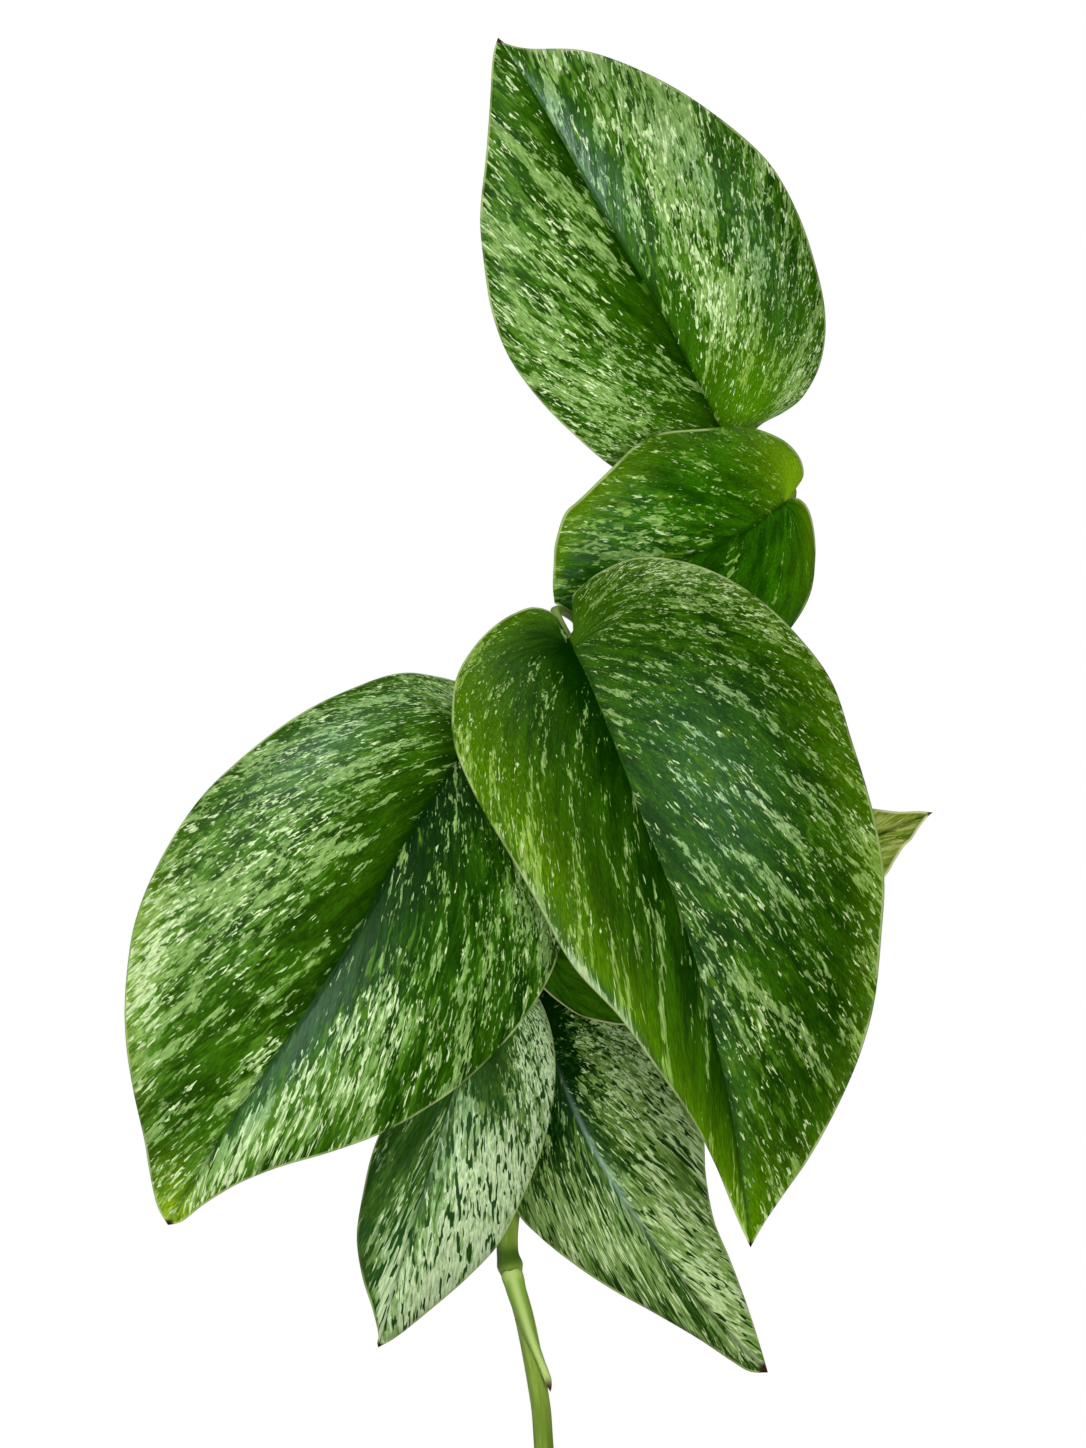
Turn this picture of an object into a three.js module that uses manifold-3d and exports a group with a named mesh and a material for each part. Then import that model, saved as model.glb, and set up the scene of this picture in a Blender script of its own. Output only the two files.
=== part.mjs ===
// Potted satin pothos: seven heart-shaped leaf blades on one climbing stem, in a plain clay pot.
// Millimetres. X to the right, Y to the back, Z up. The origin is the middle of the pot's foot.

import * as THREE from 'three';
import { mergeVertices } from 'three/addons/utils/BufferGeometryUtils.js';
import Module from 'manifold-3d';

// Pot
const POT_HEIGHT = 105;
const FOOT_RADIUS = 42.5;
const BODY_TOP_RADIUS = 55.5;
const RIM_RADIUS = 60;
const RIM_BAND = 20;
const FLOOR_THICKNESS = 6;
const INNER_FLOOR_RADIUS = 37.5;
const INNER_TOP_RADIUS = 54.5;
const EDGE_ROUNDING = 1.5;
const POT_SIDES = 48;

// Soil
const SOIL_TOP = 95;
const SOIL_EDGE_DROP = 3;
const SOIL_SHOULDER = { reach: 0.72, rise: 1.8 };
const SOIL_CROWN_REACH = 0.3;
const FIT_GAP = 0.3;

// Stem
const STEM_RADIUS = 1.95;
const STEM_FOOT = 50;
const STEM_SIDES = 10;
const STEM_STEPS = 44;
const NODE_RING_RADIUS = 2.5;
const NODE_RING_HEIGHT = 1.7;
const STALK_RADIUS = 1.35;
const STALK_SIDES = 8;
const STALK_STEPS = 14;

// Blades
const BLADE_THICKNESS = 1;
const MIDRIB_KEEL = 0.7;
const BLADE_ROWS = 24;
const COLUMNS_PER_HALF = 4;
const LOBE_SHARE = 0.2;
const FAN_SHARE = 0.04;
const FAN_REACH = 0.02;
const VEIN_SWEEP = 1.12;
const VEIN_BOW = 0.12;
const BULGE_LEAN = 0.85;
const FULL_WAVE_WIDTH = 40;

// The outlines are those that an eye sees from 1.4 m in front of the plant, drawn on the plane Y = 0.
const EYE = new THREE.Vector3(-1, -1400, 260);

const CLAY = new THREE.MeshStandardMaterial({ color: 0xb8694a, roughness: 0.85, metalness: 0 });
const EARTH = new THREE.MeshStandardMaterial({ color: 0x3a2a1e, roughness: 1, metalness: 0 });
const STEM_GREEN = new THREE.MeshStandardMaterial({ color: 0x7d9f42, roughness: 0.5, metalness: 0 });
const SHEATH_GREEN = new THREE.MeshStandardMaterial({ color: 0xa5c86a, roughness: 0.6, metalness: 0 });

// Each blade has its notch and its tip as [X, Z]. Its midrib and its two margins are points
// [along, across], counted from the notch, with across positive on the right of a walker who goes
// from notch to tip. depth is the Y of the blade's most forward place, at the share peak of its
// length, and arch is how far the tip curls back from there. turn tilts the blade about its length,
// and fall is how steeply its right and its left half fall back from the midrib. Each half bulges
// forward by camber and rolls back at its margin by roll, as shares of its width.
const BLADES = [
  {
    name: 'leaf_top', color: 0x4d7f2a,
    notch: [36, 316], tip: [-10, 397.5],
    midrib: [[27, 1.5], [51, 1], [76, 1]],
    right: [[-1, 3], [0.3, 8], [0.2, 13], [1.1, 18], [5.2, 24.2], [12, 29.2], [21, 32.5], [34, 35],
      [47, 34.5], [62.5, 28.5], [74, 21.5], [83, 13.5], [88.5, 4.5], [91.5, 1]],
    left: [[-2.5, -6], [-1, -13.5], [2.5, -18.5], [8, -22.5], [17.5, -26], [27, -28.5], [37, -29.5],
      [46.5, -28], [56, -24.5], [64.5, -20.5], [74.5, -13.5], [83.5, -7.5], [90.5, -3]],
    depth: -9, peak: 0.25, arch: 22, turn: 0.2, fall: [0.05, 0.12], camber: 0.11, roll: 0.07,
    wave: 0.9, waves: 2.6, phase: 1,
  },
  {
    name: 'leaf_young', color: 0x3f7a14,
    notch: [48, 305], tip: [1.3, 284.4],
    midrib: [[13.5, -2.5], [31, -2]],
    right: [[-2.5, 1.5], [-5, 3.5], [-5.5, 7.5], [-3.5, 12], [2, 17], [10, 20], [17.5, 22.5],
      [23, 22.5], [30, 20], [38, 17], [42, 15.5], [46, 11], [47.9, 7.5], [50, 3.2]],
    left: [[-2, -0.5], [-3, -3], [-2.5, -7], [-0.5, -12.5], [3.5, -19], [9.5, -23.5], [17, -26.5],
      [26.5, -26], [35.5, -21], [42, -13], [46.5, -6.5], [49.5, -2.2]],
    depth: -27, peak: 0.45, arch: 5, turn: 0.08, fall: [0.12, 0.05], camber: 0.13, roll: 0.1,
    wave: 0.6, waves: 2.2, phase: 0.5,
  },
  {
    name: 'leaf_front', color: 0x2f6a10,
    notch: [4, 277.5], tip: [40.5, 155.5],
    midrib: [[12.5, -2], [37.5, -4], [64.5, -6], [90.5, -5], [106, -3.5], [118, -1.5]],
    right: [[-0.2, 0.7], [-1.3, 1], [-2.7, 0.9], [-4.9, 1], [-6.5, 2.4], [-7.5, 4.1], [-8, 6.5],
      [-7, 12], [-4, 18], [1, 23.5], [7.5, 26.5], [14.5, 28], [24.5, 27], [35, 24.5],
      [47.5, 21.5], [63, 18], [75.5, 12], [87, 8], [99, 4],
      [109.5, 2], [120, 1]],
    left: [[-0.8, -1], [-1.6, -2], [-2.8, -2.4], [-5, -2.7], [-6.6, -2.8], [-7.9, -3.4],
      [-9.2, -5.7], [-10.6, -9.5], [-11.5, -16.5], [-9.5, -23.5], [-4.5, -31.5], [3, -38.5],
      [12.5, -44], [23.5, -48], [36.5, -48.5], [50.5, -48.5],
      [63.5, -47], [75, -43], [87, -38], [96, -32.5], [104.5, -25.5], [113, -17], [119, -9.5],
      [123.5, -4]],
    depth: -63, peak: 0.4, arch: 14, turn: -0.05, fall: [0.32, 0.06], camber: 0.11, roll: 0.08,
    wave: 1.1, waves: 3.1, phase: 2,
  },
  {
    name: 'leaf_left', color: 0x3d7418,
    notch: [-12, 260.5], tip: [-76, 160],
    midrib: [[20, 1.5], [56, -0.5], [98, 0.5]],
    right: [[-3, -0.5], [-4.5, 1.5], [-4.5, 6], [-2.5, 13], [1, 20], [8, 26], [18.5, 32.5],
      [31.5, 37.5], [44.5, 40.5], [59, 40.5], [72, 38], [84, 32.5], [92.5, 27], [100, 20.5],
      [107, 13.5], [112, 9], [117, 4]],
    left: [[-2, -3], [-0.5, -9.5], [5, -17.5], [13, -26], [21.5, -32.5], [30.5, -36.5], [39.5, -38],
      [50, -37.5], [62, -35], [72, -31], [81, -26], [89.5, -19.5], [97.5, -12.5], [104.5, -7.5],
      [111.5, -4], [117, -2]],
    depth: -36, peak: 0.35, arch: 16, turn: 0.2, fall: [0.08, 0.08], camber: 0.1, roll: 0.07,
    wave: 1.1, waves: 2.7, phase: 4,
  },
  {
    name: 'leaf_hanging', color: 0x9db98a,
    notch: [-10, 207], tip: [-34, 135.5],
    midrib: [[11, 2], [32, 1.5], [54, 1]],
    right: [[-1.5, 2.5], [1, 6.5], [8.5, 10], [19, 12.5], [30.5, 13], [39, 13.5], [48.5, 12.5],
      [56, 11], [63, 7.5], [68.5, 3.5], [72.5, 1]],
    left: [[-3.5, -1.5], [-3, -6], [2.5, -11.5], [10, -15.5], [17.5, -17.5], [26.5, -18.5],
      [37, -18], [47.5, -16.5], [56.5, -12.5], [65, -7.5], [72, -3]],
    depth: -25, peak: 0.45, arch: 10, turn: -0.12, fall: [0.25, 0.2], camber: 0.13, roll: 0.1,
    wave: 0.7, waves: 2.4, phase: 3,
  },
  {
    name: 'leaf_low', color: 0x8fae78,
    notch: [-0.5, 199], tip: [44, 130.5],
    midrib: [[9.5, 2.5], [27, 5], [49.5, 5], [70, 2.5]],
    right: [[-1, 3], [2, 8.5], [9.5, 15], [17.5, 20.5], [26.5, 24.5], [34, 23.5], [43, 20.5],
      [51, 17], [59.5, 12.5], [68.5, 8], [75.5, 5], [79.5, 3]],
    left: [[-3.5, -0.8], [-6.8, -2.2], [-8.6, -5], [-8, -9.5], [-3.5, -14], [2.5, -17],
      [8, -18.5], [14.5, -19.3], [24.5, -18.5], [34, -15.5], [42, -11], [50.5, -7.5],
      [58.5, -6], [67.5, -4], [75, -2]],
    depth: -10, peak: 0.35, arch: 10, turn: 0.06, fall: [0.08, 0.25], camber: 0.1, roll: 0.06,
    wave: 0.8, waves: 2.2, phase: 5,
  },
  {
    name: 'leaf_back', color: 0x5a8530,
    notch: [-1.5, 216], tip: [77, 242.5],
    midrib: [[12, 2], [45.5, 3], [71, 0.5]],
    right: [[-3, 1], [-4, 5], [-2.5, 8], [-0.5, 11.5], [3, 16], [7.5, 19], [12, 21], [21.5, 23],
      [34.5, 22.5], [48.5, 18.5], [60.5, 14], [69.6, 9.1], [72.4, 6.8], [75.2, 4.6], [77, 3.8],
      [79.1, 2.1], [81.7, 0.4]],
    left: [[-1, -3.5], [2, -7.5], [9.5, -12.5], [20.5, -16.5], [33.5, -17.5], [47.5, -15],
      [60.5, -10], [71.7, -4.6], [76.3, -2.4], [80.2, -1.2]],
    depth: -19, peak: 0.25, arch: 30, turn: 0.12, fall: [0.1, 0.1], camber: 0.12, roll: 0.08,
    wave: 0.7, waves: 2.3, phase: 2.5,
  },
];

// The sheath lies on the stem's front, from under the lowest node to its brown tip.
const SHEATH = {
  notch: [-7.5, 150.8], tip: [0.5, 126.6],
  midrib: [[8, 0.2], [15, 0.3], [20, -0.1]],
  right: [[-0.4, 1.2], [0.5, 2.1], [2.7, 2.1], [5.5, 2.1], [9.6, 1.9], [13, 1.6], [16.6, 1.1],
    [19.6, 0.7], [22.5, 0.5], [24.2, 0.3]],
  left: [[-0.2, -1.2], [0.6, -2.1], [1.9, -2.2], [4, -1.9], [6.7, -1.6], [9.5, -1.4], [12.8, -1],
    [16.1, -0.9], [18.9, -0.9], [21.3, -1], [23, -1], [24.5, -0.6]],
  depth: -3.7, peak: 0.5, arch: 0.3, turn: 0, fall: [0, 0], camber: 0, roll: 0.35,
  wave: 0, waves: 1, phase: 0,
};
const SHEATH_THICKNESS = 0.7;
const SHEATH_ROWS = 10;

// The stem's run, [X, Y, Z], from its foot in the soil to the stalk of the young leaf.
const STEM_RUN = [
  [0, 0, STEM_FOOT], [0, 0, 75], [0, 0, 98], [-1, 0, 118], [-1.8, 0, 126], [-4.5, 0, 140.5],
  [-7.4, 0, 151], [-8.1, 0.5, 157], [-6.6, 2, 168], [-4.6, 3, 182], [-3.6, 3, 198], [-3.2, 3, 214],
  [-4.6, 3, 232], [-4, 3, 246], [0, 3, 258], [8, 3, 268], [20, 3, 280], [31, 3, 292], [39, 2, 301],
];
const RING_HEIGHTS = [151.8, 190, 203, 216, 239, 255, 294];

// Each stalk leaves the stem at start, passes via, and meets its blade's notch from behind.
const STALKS = [
  { blade: 'leaf_top', start: [32, 3, 293], via: [[34, 4, 302], [35.5, 2, 310]] },
  { blade: 'leaf_young', start: [38, 2, 300], via: [[44, -3, 305], [47.5, -12, 307]] },
  {
    blade: 'leaf_front', start: [-1.5, 3, 254],
    via: [[2, -10, 263], [5.2, -27, 278], [4.6, -40, 282.6], [2.8, -49, 281.2]],
  },
  { blade: 'leaf_left', start: [-4.4, 3, 238], via: [[-6, -6, 248], [-9, -18, 259], [-11.2, -25, 263]] },
  { blade: 'leaf_hanging', start: [-3.4, 3, 203], via: [[-5, -4, 209], [-8, -11, 211.5]] },
  { blade: 'leaf_low', start: [-4, 3, 190], via: [[-4, -1, 197], [-2, -3.5, 201]] },
  { blade: 'leaf_back', start: [-3.2, 3, 212], via: [[-5, -3, 216], [-4, -8, 218]] },
];
const STALK_INSET = 1.6;
const STALK_GAP = 0.45;
const STALK_STRAIGHT = 2.5;

const wasm = await Module();
wasm.setup();

// A margin or midrib as one smooth curve from the notch, through its points, to the tip.
function curveThrough(points, length) {
  const all = [[0, 0], ...points, [length, 0]];
  return new THREE.SplineCurve(all.map(([along, across]) => new THREE.Vector2(along, across)));
}

// Moves a point of the plane Y = 0 to the depth y along its line of sight.
function placeInSight(x, y, z) {
  const spread = (y - EYE.y) / -EYE.y;
  return new THREE.Vector3(EYE.x + (x - EYE.x) * spread, y, EYE.z + (z - EYE.z) * spread);
}

// Where on the midrib the vein starts that ends at this share of the margin. The veins of a lobe
// all fan out from one place just beyond the notch.
function ribShare(share) {
  const fan = FAN_REACH * Math.min(1, share / FAN_SHARE);
  const beyond = Math.max(0, (share - LOBE_SHARE) / (1 - LOBE_SHARE));
  return fan + (1 - FAN_REACH) * beyond ** VEIN_SWEEP;
}

// Returns a function of the side (1 right, -1 left), the share along the margin and the share out
// from the midrib, that gives the point of the blade's upper face.
function bladeSurface(blade) {
  const notch = new THREE.Vector2(...blade.notch);
  const axis = new THREE.Vector2(...blade.tip).sub(notch);
  const length = axis.length();
  axis.normalize();
  const midrib = curveThrough(blade.midrib, length);
  const margins = { '1': curveThrough(blade.right, length), '-1': curveThrough(blade.left, length) };
  return (side, share, out) => {
    const edge = margins[side].getPointAt(share);
    const reach = ribShare(share);
    const rib = midrib.getPointAt(reach);
    const width = edge.distanceTo(rib);
    const flat = rib.clone().lerp(edge, out);
    flat.x -= 2 * out * (1 - out) * VEIN_BOW * width * Math.sin(Math.PI * reach);
    const arch = blade.arch * ((flat.x / length - blade.peak) / (1 - blade.peak)) ** 2;
    const fall = blade.fall[side > 0 ? 0 : 1] * out * width;
    const bulge = (blade.roll * out ** 3 - blade.camber * Math.sin(Math.PI * out ** BULGE_LEAN)) * width;
    const wave = blade.wave * (width / FULL_WAVE_WIDTH) * out ** 2
      * Math.sin(2 * Math.PI * blade.waves * share + blade.phase + side);
    const y = blade.depth + arch + blade.turn * flat.y + fall + bulge + wave;
    const x = notch.x + axis.x * flat.x + axis.y * flat.y;
    const z = notch.y + axis.y * flat.x - axis.x * flat.y;
    return placeInSight(x, y, z);
  };
}

// A closed geometry from loose triangles: shared corners are merged, collapsed triangles go, and
// the faces are turned outward.
function closedGeometry(corners) {
  const loose = new THREE.BufferGeometry();
  const numbers = corners.flatMap((p) => [p.x, p.y, p.z]);
  loose.setAttribute('position', new THREE.Float32BufferAttribute(numbers, 3));
  const merged = mergeVertices(loose, 1e-4);
  const kept = [];
  let volume = 0;
  const at = (i) => new THREE.Vector3().fromBufferAttribute(merged.attributes.position, i);
  for (let i = 0; i < merged.index.count; i += 3) {
    const [a, b, c] = [0, 1, 2].map((k) => merged.index.getX(i + k));
    if (a === b || b === c || c === a) continue;
    kept.push([a, b, c]);
    volume += at(a).dot(at(b).cross(at(c)));
  }
  merged.setIndex(kept.flatMap(([a, b, c]) => (volume > 0 ? [a, b, c] : [a, c, b])));
  merged.computeVertexNormals();
  return merged;
}

// A thin blade: the upper face, the same face set back by the thickness, and the margin between.
function bladeGeometry(blade, thickness, keel, rows, columns) {
  const surface = bladeSurface(blade);
  const corners = [];
  const quad = (side, a, b, c, d) => {
    corners.push(...(side > 0 ? [a, b, c, a, c, d] : [a, c, b, a, d, c]));
  };
  for (const side of [1, -1]) {
    const face = [];
    const back = [];
    for (let i = 0; i <= rows; i++) {
      const share = i / rows;
      const atEnd = i === 0 || i === rows;
      face.push([]);
      back.push([]);
      for (let j = 0; j <= columns; j++) {
        const out = j / columns;
        const p = surface(side, share, out);
        const ridge = atEnd || j === 0 ? keel * (1 - ribShare(share)) : 0;
        face[i].push(p);
        back[i].push(new THREE.Vector3(p.x, p.y + thickness + ridge, p.z));
      }
    }
    for (let i = 0; i < rows; i++) {
      for (let j = 0; j < columns; j++) {
        quad(side, face[i][j], face[i][j + 1], face[i + 1][j + 1], face[i + 1][j]);
        quad(-side, back[i][j], back[i][j + 1], back[i + 1][j + 1], back[i + 1][j]);
      }
      quad(side, face[i][columns], back[i][columns], back[i + 1][columns], face[i + 1][columns]);
    }
  }
  return closedGeometry(corners);
}

// A solid for cutting and joining, from any closed geometry.
function solid(geometry) {
  const bare = geometry.clone();
  bare.deleteAttribute('normal');
  bare.deleteAttribute('uv');
  const merged = mergeVertices(bare, 1e-4);
  const vertProperties = new Float32Array(merged.attributes.position.array);
  const triVerts = new Uint32Array(merged.index.array);
  return new wasm.Manifold(new wasm.Mesh({ numProp: 3, vertProperties, triVerts }));
}

function geometryOf(manifold) {
  const { vertProperties, triVerts } = manifold.getMesh();
  const geometry = new THREE.BufferGeometry();
  geometry.setAttribute('position', new THREE.BufferAttribute(new Float32Array(vertProperties), 3));
  geometry.setIndex([...triVerts]);
  geometry.computeVertexNormals();
  return geometry;
}

function mesh(name, geometry, material) {
  const piece = new THREE.Mesh(geometry, material);
  piece.name = name;
  return piece;
}

// A round rod along a smooth curve through the points.
function rod(points, radius, sides, steps) {
  const path = new THREE.CatmullRomCurve3(points.map((p) => new THREE.Vector3(...p)));
  const section = new THREE.Shape();
  for (let i = 0; i < sides; i++) {
    const angle = (2 * Math.PI * i) / sides;
    const corner = [radius * Math.cos(angle), radius * Math.sin(angle)];
    if (i === 0) section.moveTo(...corner);
    else section.lineTo(...corner);
  }
  return new THREE.ExtrudeGeometry(section, { steps, extrudePath: path, bevelEnabled: false });
}

// The rounded swelling of the stem at a node, square to the stem's run.
function nodeRing(path, height) {
  let share = 0;
  while (share < 1 && path.getPointAt(share).z < height) share += 0.002;
  const ring = new THREE.SphereGeometry(NODE_RING_RADIUS, STEM_SIDES, 6);
  ring.rotateX(Math.PI / 2);
  ring.scale(1, 1, NODE_RING_HEIGHT / NODE_RING_RADIUS);
  const up = new THREE.Vector3(0, 0, 1);
  ring.applyQuaternion(new THREE.Quaternion().setFromUnitVectors(up, path.getTangentAt(share)));
  ring.translate(...path.getPointAt(share).toArray());
  return ring;
}

// The stalk ends flat behind the blade, just beyond the notch and a small gap away from it.
function stalkPoints(stalk) {
  const blade = BLADES.find(({ name }) => name === stalk.blade);
  const notch = new THREE.Vector2(...blade.notch);
  const axis = new THREE.Vector2(...blade.tip).sub(notch).normalize();
  const [x, z] = notch.addScaledVector(axis, STALK_INSET).toArray();
  const seat = bladeSurface(blade)(1, 0, 0).y + BLADE_THICKNESS + MIDRIB_KEEL + STALK_GAP;
  const end = placeInSight(x, seat, z);
  return [stalk.start, ...stalk.via, [end.x, end.y + STALK_STRAIGHT, end.z], end.toArray()];
}

function stemGeometry() {
  const path = new THREE.CatmullRomCurve3(STEM_RUN.map((p) => new THREE.Vector3(...p)));
  let stem = solid(rod(STEM_RUN, STEM_RADIUS, STEM_SIDES, STEM_STEPS));
  for (const height of RING_HEIGHTS) stem = stem.add(solid(nodeRing(path, height)));
  for (const stalk of STALKS) {
    stem = stem.add(solid(rod(stalkPoints(stalk), STALK_RADIUS, STALK_SIDES, STALK_STEPS)));
  }
  return geometryOf(stem);
}

function potGeometry() {
  const bodyTop = POT_HEIGHT - RIM_BAND;
  const r = EDGE_ROUNDING;
  const profile = [
    [0, 0], [FOOT_RADIUS - r, 0], [FOOT_RADIUS, r], [BODY_TOP_RADIUS, bodyTop],
    [RIM_RADIUS - 2 * r, bodyTop], [RIM_RADIUS - r, bodyTop + r], [RIM_RADIUS, POT_HEIGHT - r],
    [RIM_RADIUS - r, POT_HEIGHT], [INNER_TOP_RADIUS + r, POT_HEIGHT],
    [INNER_TOP_RADIUS, POT_HEIGHT - r], [INNER_FLOOR_RADIUS, FLOOR_THICKNESS], [0, FLOOR_THICKNESS],
  ];
  return latheGeometry(profile);
}

function innerRadiusAt(z) {
  const share = (z - FLOOR_THICKNESS) / (POT_HEIGHT - EDGE_ROUNDING - FLOOR_THICKNESS);
  return INNER_FLOOR_RADIUS + share * (INNER_TOP_RADIUS - INNER_FLOOR_RADIUS);
}

// The soil fills the pot to below the rim, and the stem stands in a plain hole in it.
function soilGeometry() {
  const bottom = FLOOR_THICKNESS + FIT_GAP;
  const edge = SOIL_TOP - SOIL_EDGE_DROP;
  const hole = STEM_RADIUS + FIT_GAP;
  const holeFloor = STEM_FOOT - FIT_GAP;
  const profile = [
    [0, bottom], [innerRadiusAt(bottom) - FIT_GAP, bottom], [innerRadiusAt(edge) - FIT_GAP, edge],
    [SOIL_SHOULDER.reach * innerRadiusAt(edge), edge + SOIL_SHOULDER.rise],
    [SOIL_CROWN_REACH * innerRadiusAt(edge), SOIL_TOP],
    [hole, SOIL_TOP], [hole, holeFloor], [0, holeFloor],
  ];
  return latheGeometry(profile);
}

// A closed turned shape about Z, from a profile of [radius, Z] that starts and ends on the axis.
function latheGeometry(profile) {
  const turned = new THREE.LatheGeometry(profile.map(([x, y]) => new THREE.Vector2(x, y)), POT_SIDES);
  turned.rotateX(Math.PI / 2);
  const flat = turned.toNonIndexed().attributes.position;
  const corners = [];
  for (let i = 0; i < flat.count; i++) corners.push(new THREE.Vector3().fromBufferAttribute(flat, i));
  return closedGeometry(corners);
}

const plant = new THREE.Group();
plant.add(mesh('pot', potGeometry(), CLAY));
plant.add(mesh('soil', soilGeometry(), EARTH));
plant.add(mesh('stem', stemGeometry(), STEM_GREEN));
plant.add(mesh('sheath', bladeGeometry(SHEATH, SHEATH_THICKNESS, 0, SHEATH_ROWS, 2), SHEATH_GREEN));
for (const blade of BLADES) {
  const material = new THREE.MeshStandardMaterial({ color: blade.color, roughness: 0.45, metalness: 0 });
  const geometry = bladeGeometry(blade, BLADE_THICKNESS, MIDRIB_KEEL, BLADE_ROWS, COLUMNS_PER_HALF);
  plant.add(mesh(blade.name, geometry, material));
}

export default plant;
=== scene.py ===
# %% [markdown]
# # A potted satin pothos
# A young climbing plant: one stem, seven leaves on long stalks, and a plain clay pot. The solids
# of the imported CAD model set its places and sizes, and the lists below repeat them. This lesson
# dresses them: each leaf blade gets a fine surface with veins and flecks, the stem becomes a
# living stem, and the pot and its soil get their grain.

import math
import random

import bmesh
import bpy
import numpy as np
from mathutils import Matrix, Vector, noise


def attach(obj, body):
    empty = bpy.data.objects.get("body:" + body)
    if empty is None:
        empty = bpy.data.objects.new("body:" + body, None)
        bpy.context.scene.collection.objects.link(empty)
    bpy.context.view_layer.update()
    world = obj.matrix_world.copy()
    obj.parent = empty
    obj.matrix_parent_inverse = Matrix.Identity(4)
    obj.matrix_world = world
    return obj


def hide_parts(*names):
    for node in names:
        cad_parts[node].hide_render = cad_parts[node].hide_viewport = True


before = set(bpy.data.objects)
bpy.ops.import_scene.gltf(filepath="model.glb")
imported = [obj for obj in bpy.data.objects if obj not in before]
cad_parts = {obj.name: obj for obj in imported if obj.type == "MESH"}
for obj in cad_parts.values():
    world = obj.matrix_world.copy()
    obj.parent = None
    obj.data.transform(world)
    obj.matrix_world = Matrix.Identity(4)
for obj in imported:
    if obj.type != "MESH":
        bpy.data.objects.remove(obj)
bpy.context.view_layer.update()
MM = 0.001

# %% [markdown]
# ## The camera
# The plant was seen from straight in front through a long lens, level with its middle. All the
# outlines below are drawn on the plane Y = 0, where the frame is 1448 rows high and a row is
# 0.2 mm. The focal length is to the height of the sensor as the distance is to the height of the
# frame, so it needs no guess. The picture ends above the pot.

# %% Place the camera
EYE = (-1.0, -1400.0, 260.2)
ROW_MM = 0.2
FRAME_ROWS = 1448
SENSOR_MM = 36.0

lens = bpy.data.cameras.new("portrait_lens")
lens.sensor_width = SENSOR_MM
lens.lens = SENSOR_MM * -EYE[1] / (FRAME_ROWS * ROW_MM)
lens.clip_end = 20.0
camera = bpy.data.objects.new("portrait_camera", lens)
camera.location = Vector(EYE) * MM
camera.rotation_euler = (math.radians(90), 0, 0)
bpy.context.scene.collection.objects.link(camera)
bpy.context.scene.camera = camera
print("lens", round(lens.lens, 1), "mm")

# %% [markdown]
# ## Colours and nodes
# Colours are written as the hex values that a screen shows. Cycles calculates in linear light, so
# one function turns each into linear numbers. A second one adds a node, sets its options and fills
# its inputs. An input can take a number, a hex colour, one output of another node, or the whole
# node, whose first working output is then meant. All materials end alike, in a bump, a shader and
# the output, so a third function closes them.

# %% Colour and node helpers
def linear(hex_colour):
    """An sRGB colour such as "#4f7a2a" as linear red, green, blue and alpha."""
    values = [int(hex_colour[i:i + 2], 16) / 255 for i in (1, 3, 5)]
    return (*[v / 12.92 if v <= 0.04045 else ((v + 0.055) / 1.055) ** 2.4 for v in values], 1.0)


def add(tree, kind, inputs=None, **options):
    """Adds the node ShaderNode + kind; inputs maps a socket's name or number to its filling."""
    node = tree.nodes.new("ShaderNode" + kind)
    for option, value in options.items():
        setattr(node, option, value)
    for socket, value in (inputs or {}).items():
        if isinstance(value, bpy.types.Node):
            value = next(output for output in value.outputs if output.enabled)
        if isinstance(value, bpy.types.NodeSocket):
            tree.links.new(value, node.inputs[socket])
        else:
            node.inputs[socket].default_value = linear(value) if isinstance(value, str) else value
    return node


def new_material(name):
    """An empty material and its node tree."""
    material = bpy.data.materials.new(name)
    material.use_nodes = True
    material.node_tree.nodes.clear()
    return material, material.node_tree


def finished(material, colour, finish, height=None, strength=0.5, depth_mm=0.0):
    """Closes a material with its colour, its finish and the relief that height draws on it."""
    tree = material.node_tree
    inputs = {"Base Color": colour, **finish}
    if height:
        inputs["Normal"] = add(tree, "Bump", {
            "Height": height, "Strength": strength, "Distance": depth_mm * MM})
    shader = add(tree, "BsdfPrincipled", inputs)
    add(tree, "OutputMaterial", {"Surface": shader})
    return material


print("mid green is", [round(v, 3) for v in linear("#4f7a2a")])

# %% [markdown]
# ## Light and background
# The leaves were lit by a window on the upper left, and a broad, even light from the front kept
# their shadows open. Each blade is folded a little along its midrib, so one half catches the
# window and the other turns away from it. A lamp's diffuse light and its reflection can be set
# apart: the first two lamps light the leaves without showing in their wax, sky_sheen shows only
# there, and a weak top light does both. The background is pure white, but only to the camera, so
# that it doesn't flood the plant with light from all sides.

# %% Soft studio light
PLANT_MIDDLE = (0.0, 0.0, 0.24)
ROOM_LIGHT = 0.1


def soft_light(name, place, size, watts, colour):
    """A round area light at place, turned towards the plant; lengths are in metres."""
    light = bpy.data.lights.new(name, "AREA")
    light.shape = "DISK"
    light.size = size
    light.energy = watts
    light.color = linear(colour)[:3]
    lamp = bpy.data.objects.new(name, light)
    lamp.location = place
    direction = Vector(PLANT_MIDDLE) - Vector(place)
    lamp.rotation_euler = direction.to_track_quat("-Z", "Y").to_euler()
    bpy.context.scene.collection.objects.link(lamp)
    return lamp


window = soft_light("window_light", (-1.0, -0.8, 0.95), 0.7, 9.0, "#fffdf6")
window.visible_glossy = False
front = soft_light("front_fill", (0.3, -1.6, 0.12), 1.0, 20.0, "#fffdf6")
front.visible_glossy = False
sky = soft_light("sky_sheen", (-1.0, -0.6, 0.8), 0.9, 26.0, "#e2eef8")
sky.visible_diffuse = False
soft_light("top_light", (0.1, 0.35, 1.3), 0.8, 4.0, "#ffffff")

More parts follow.
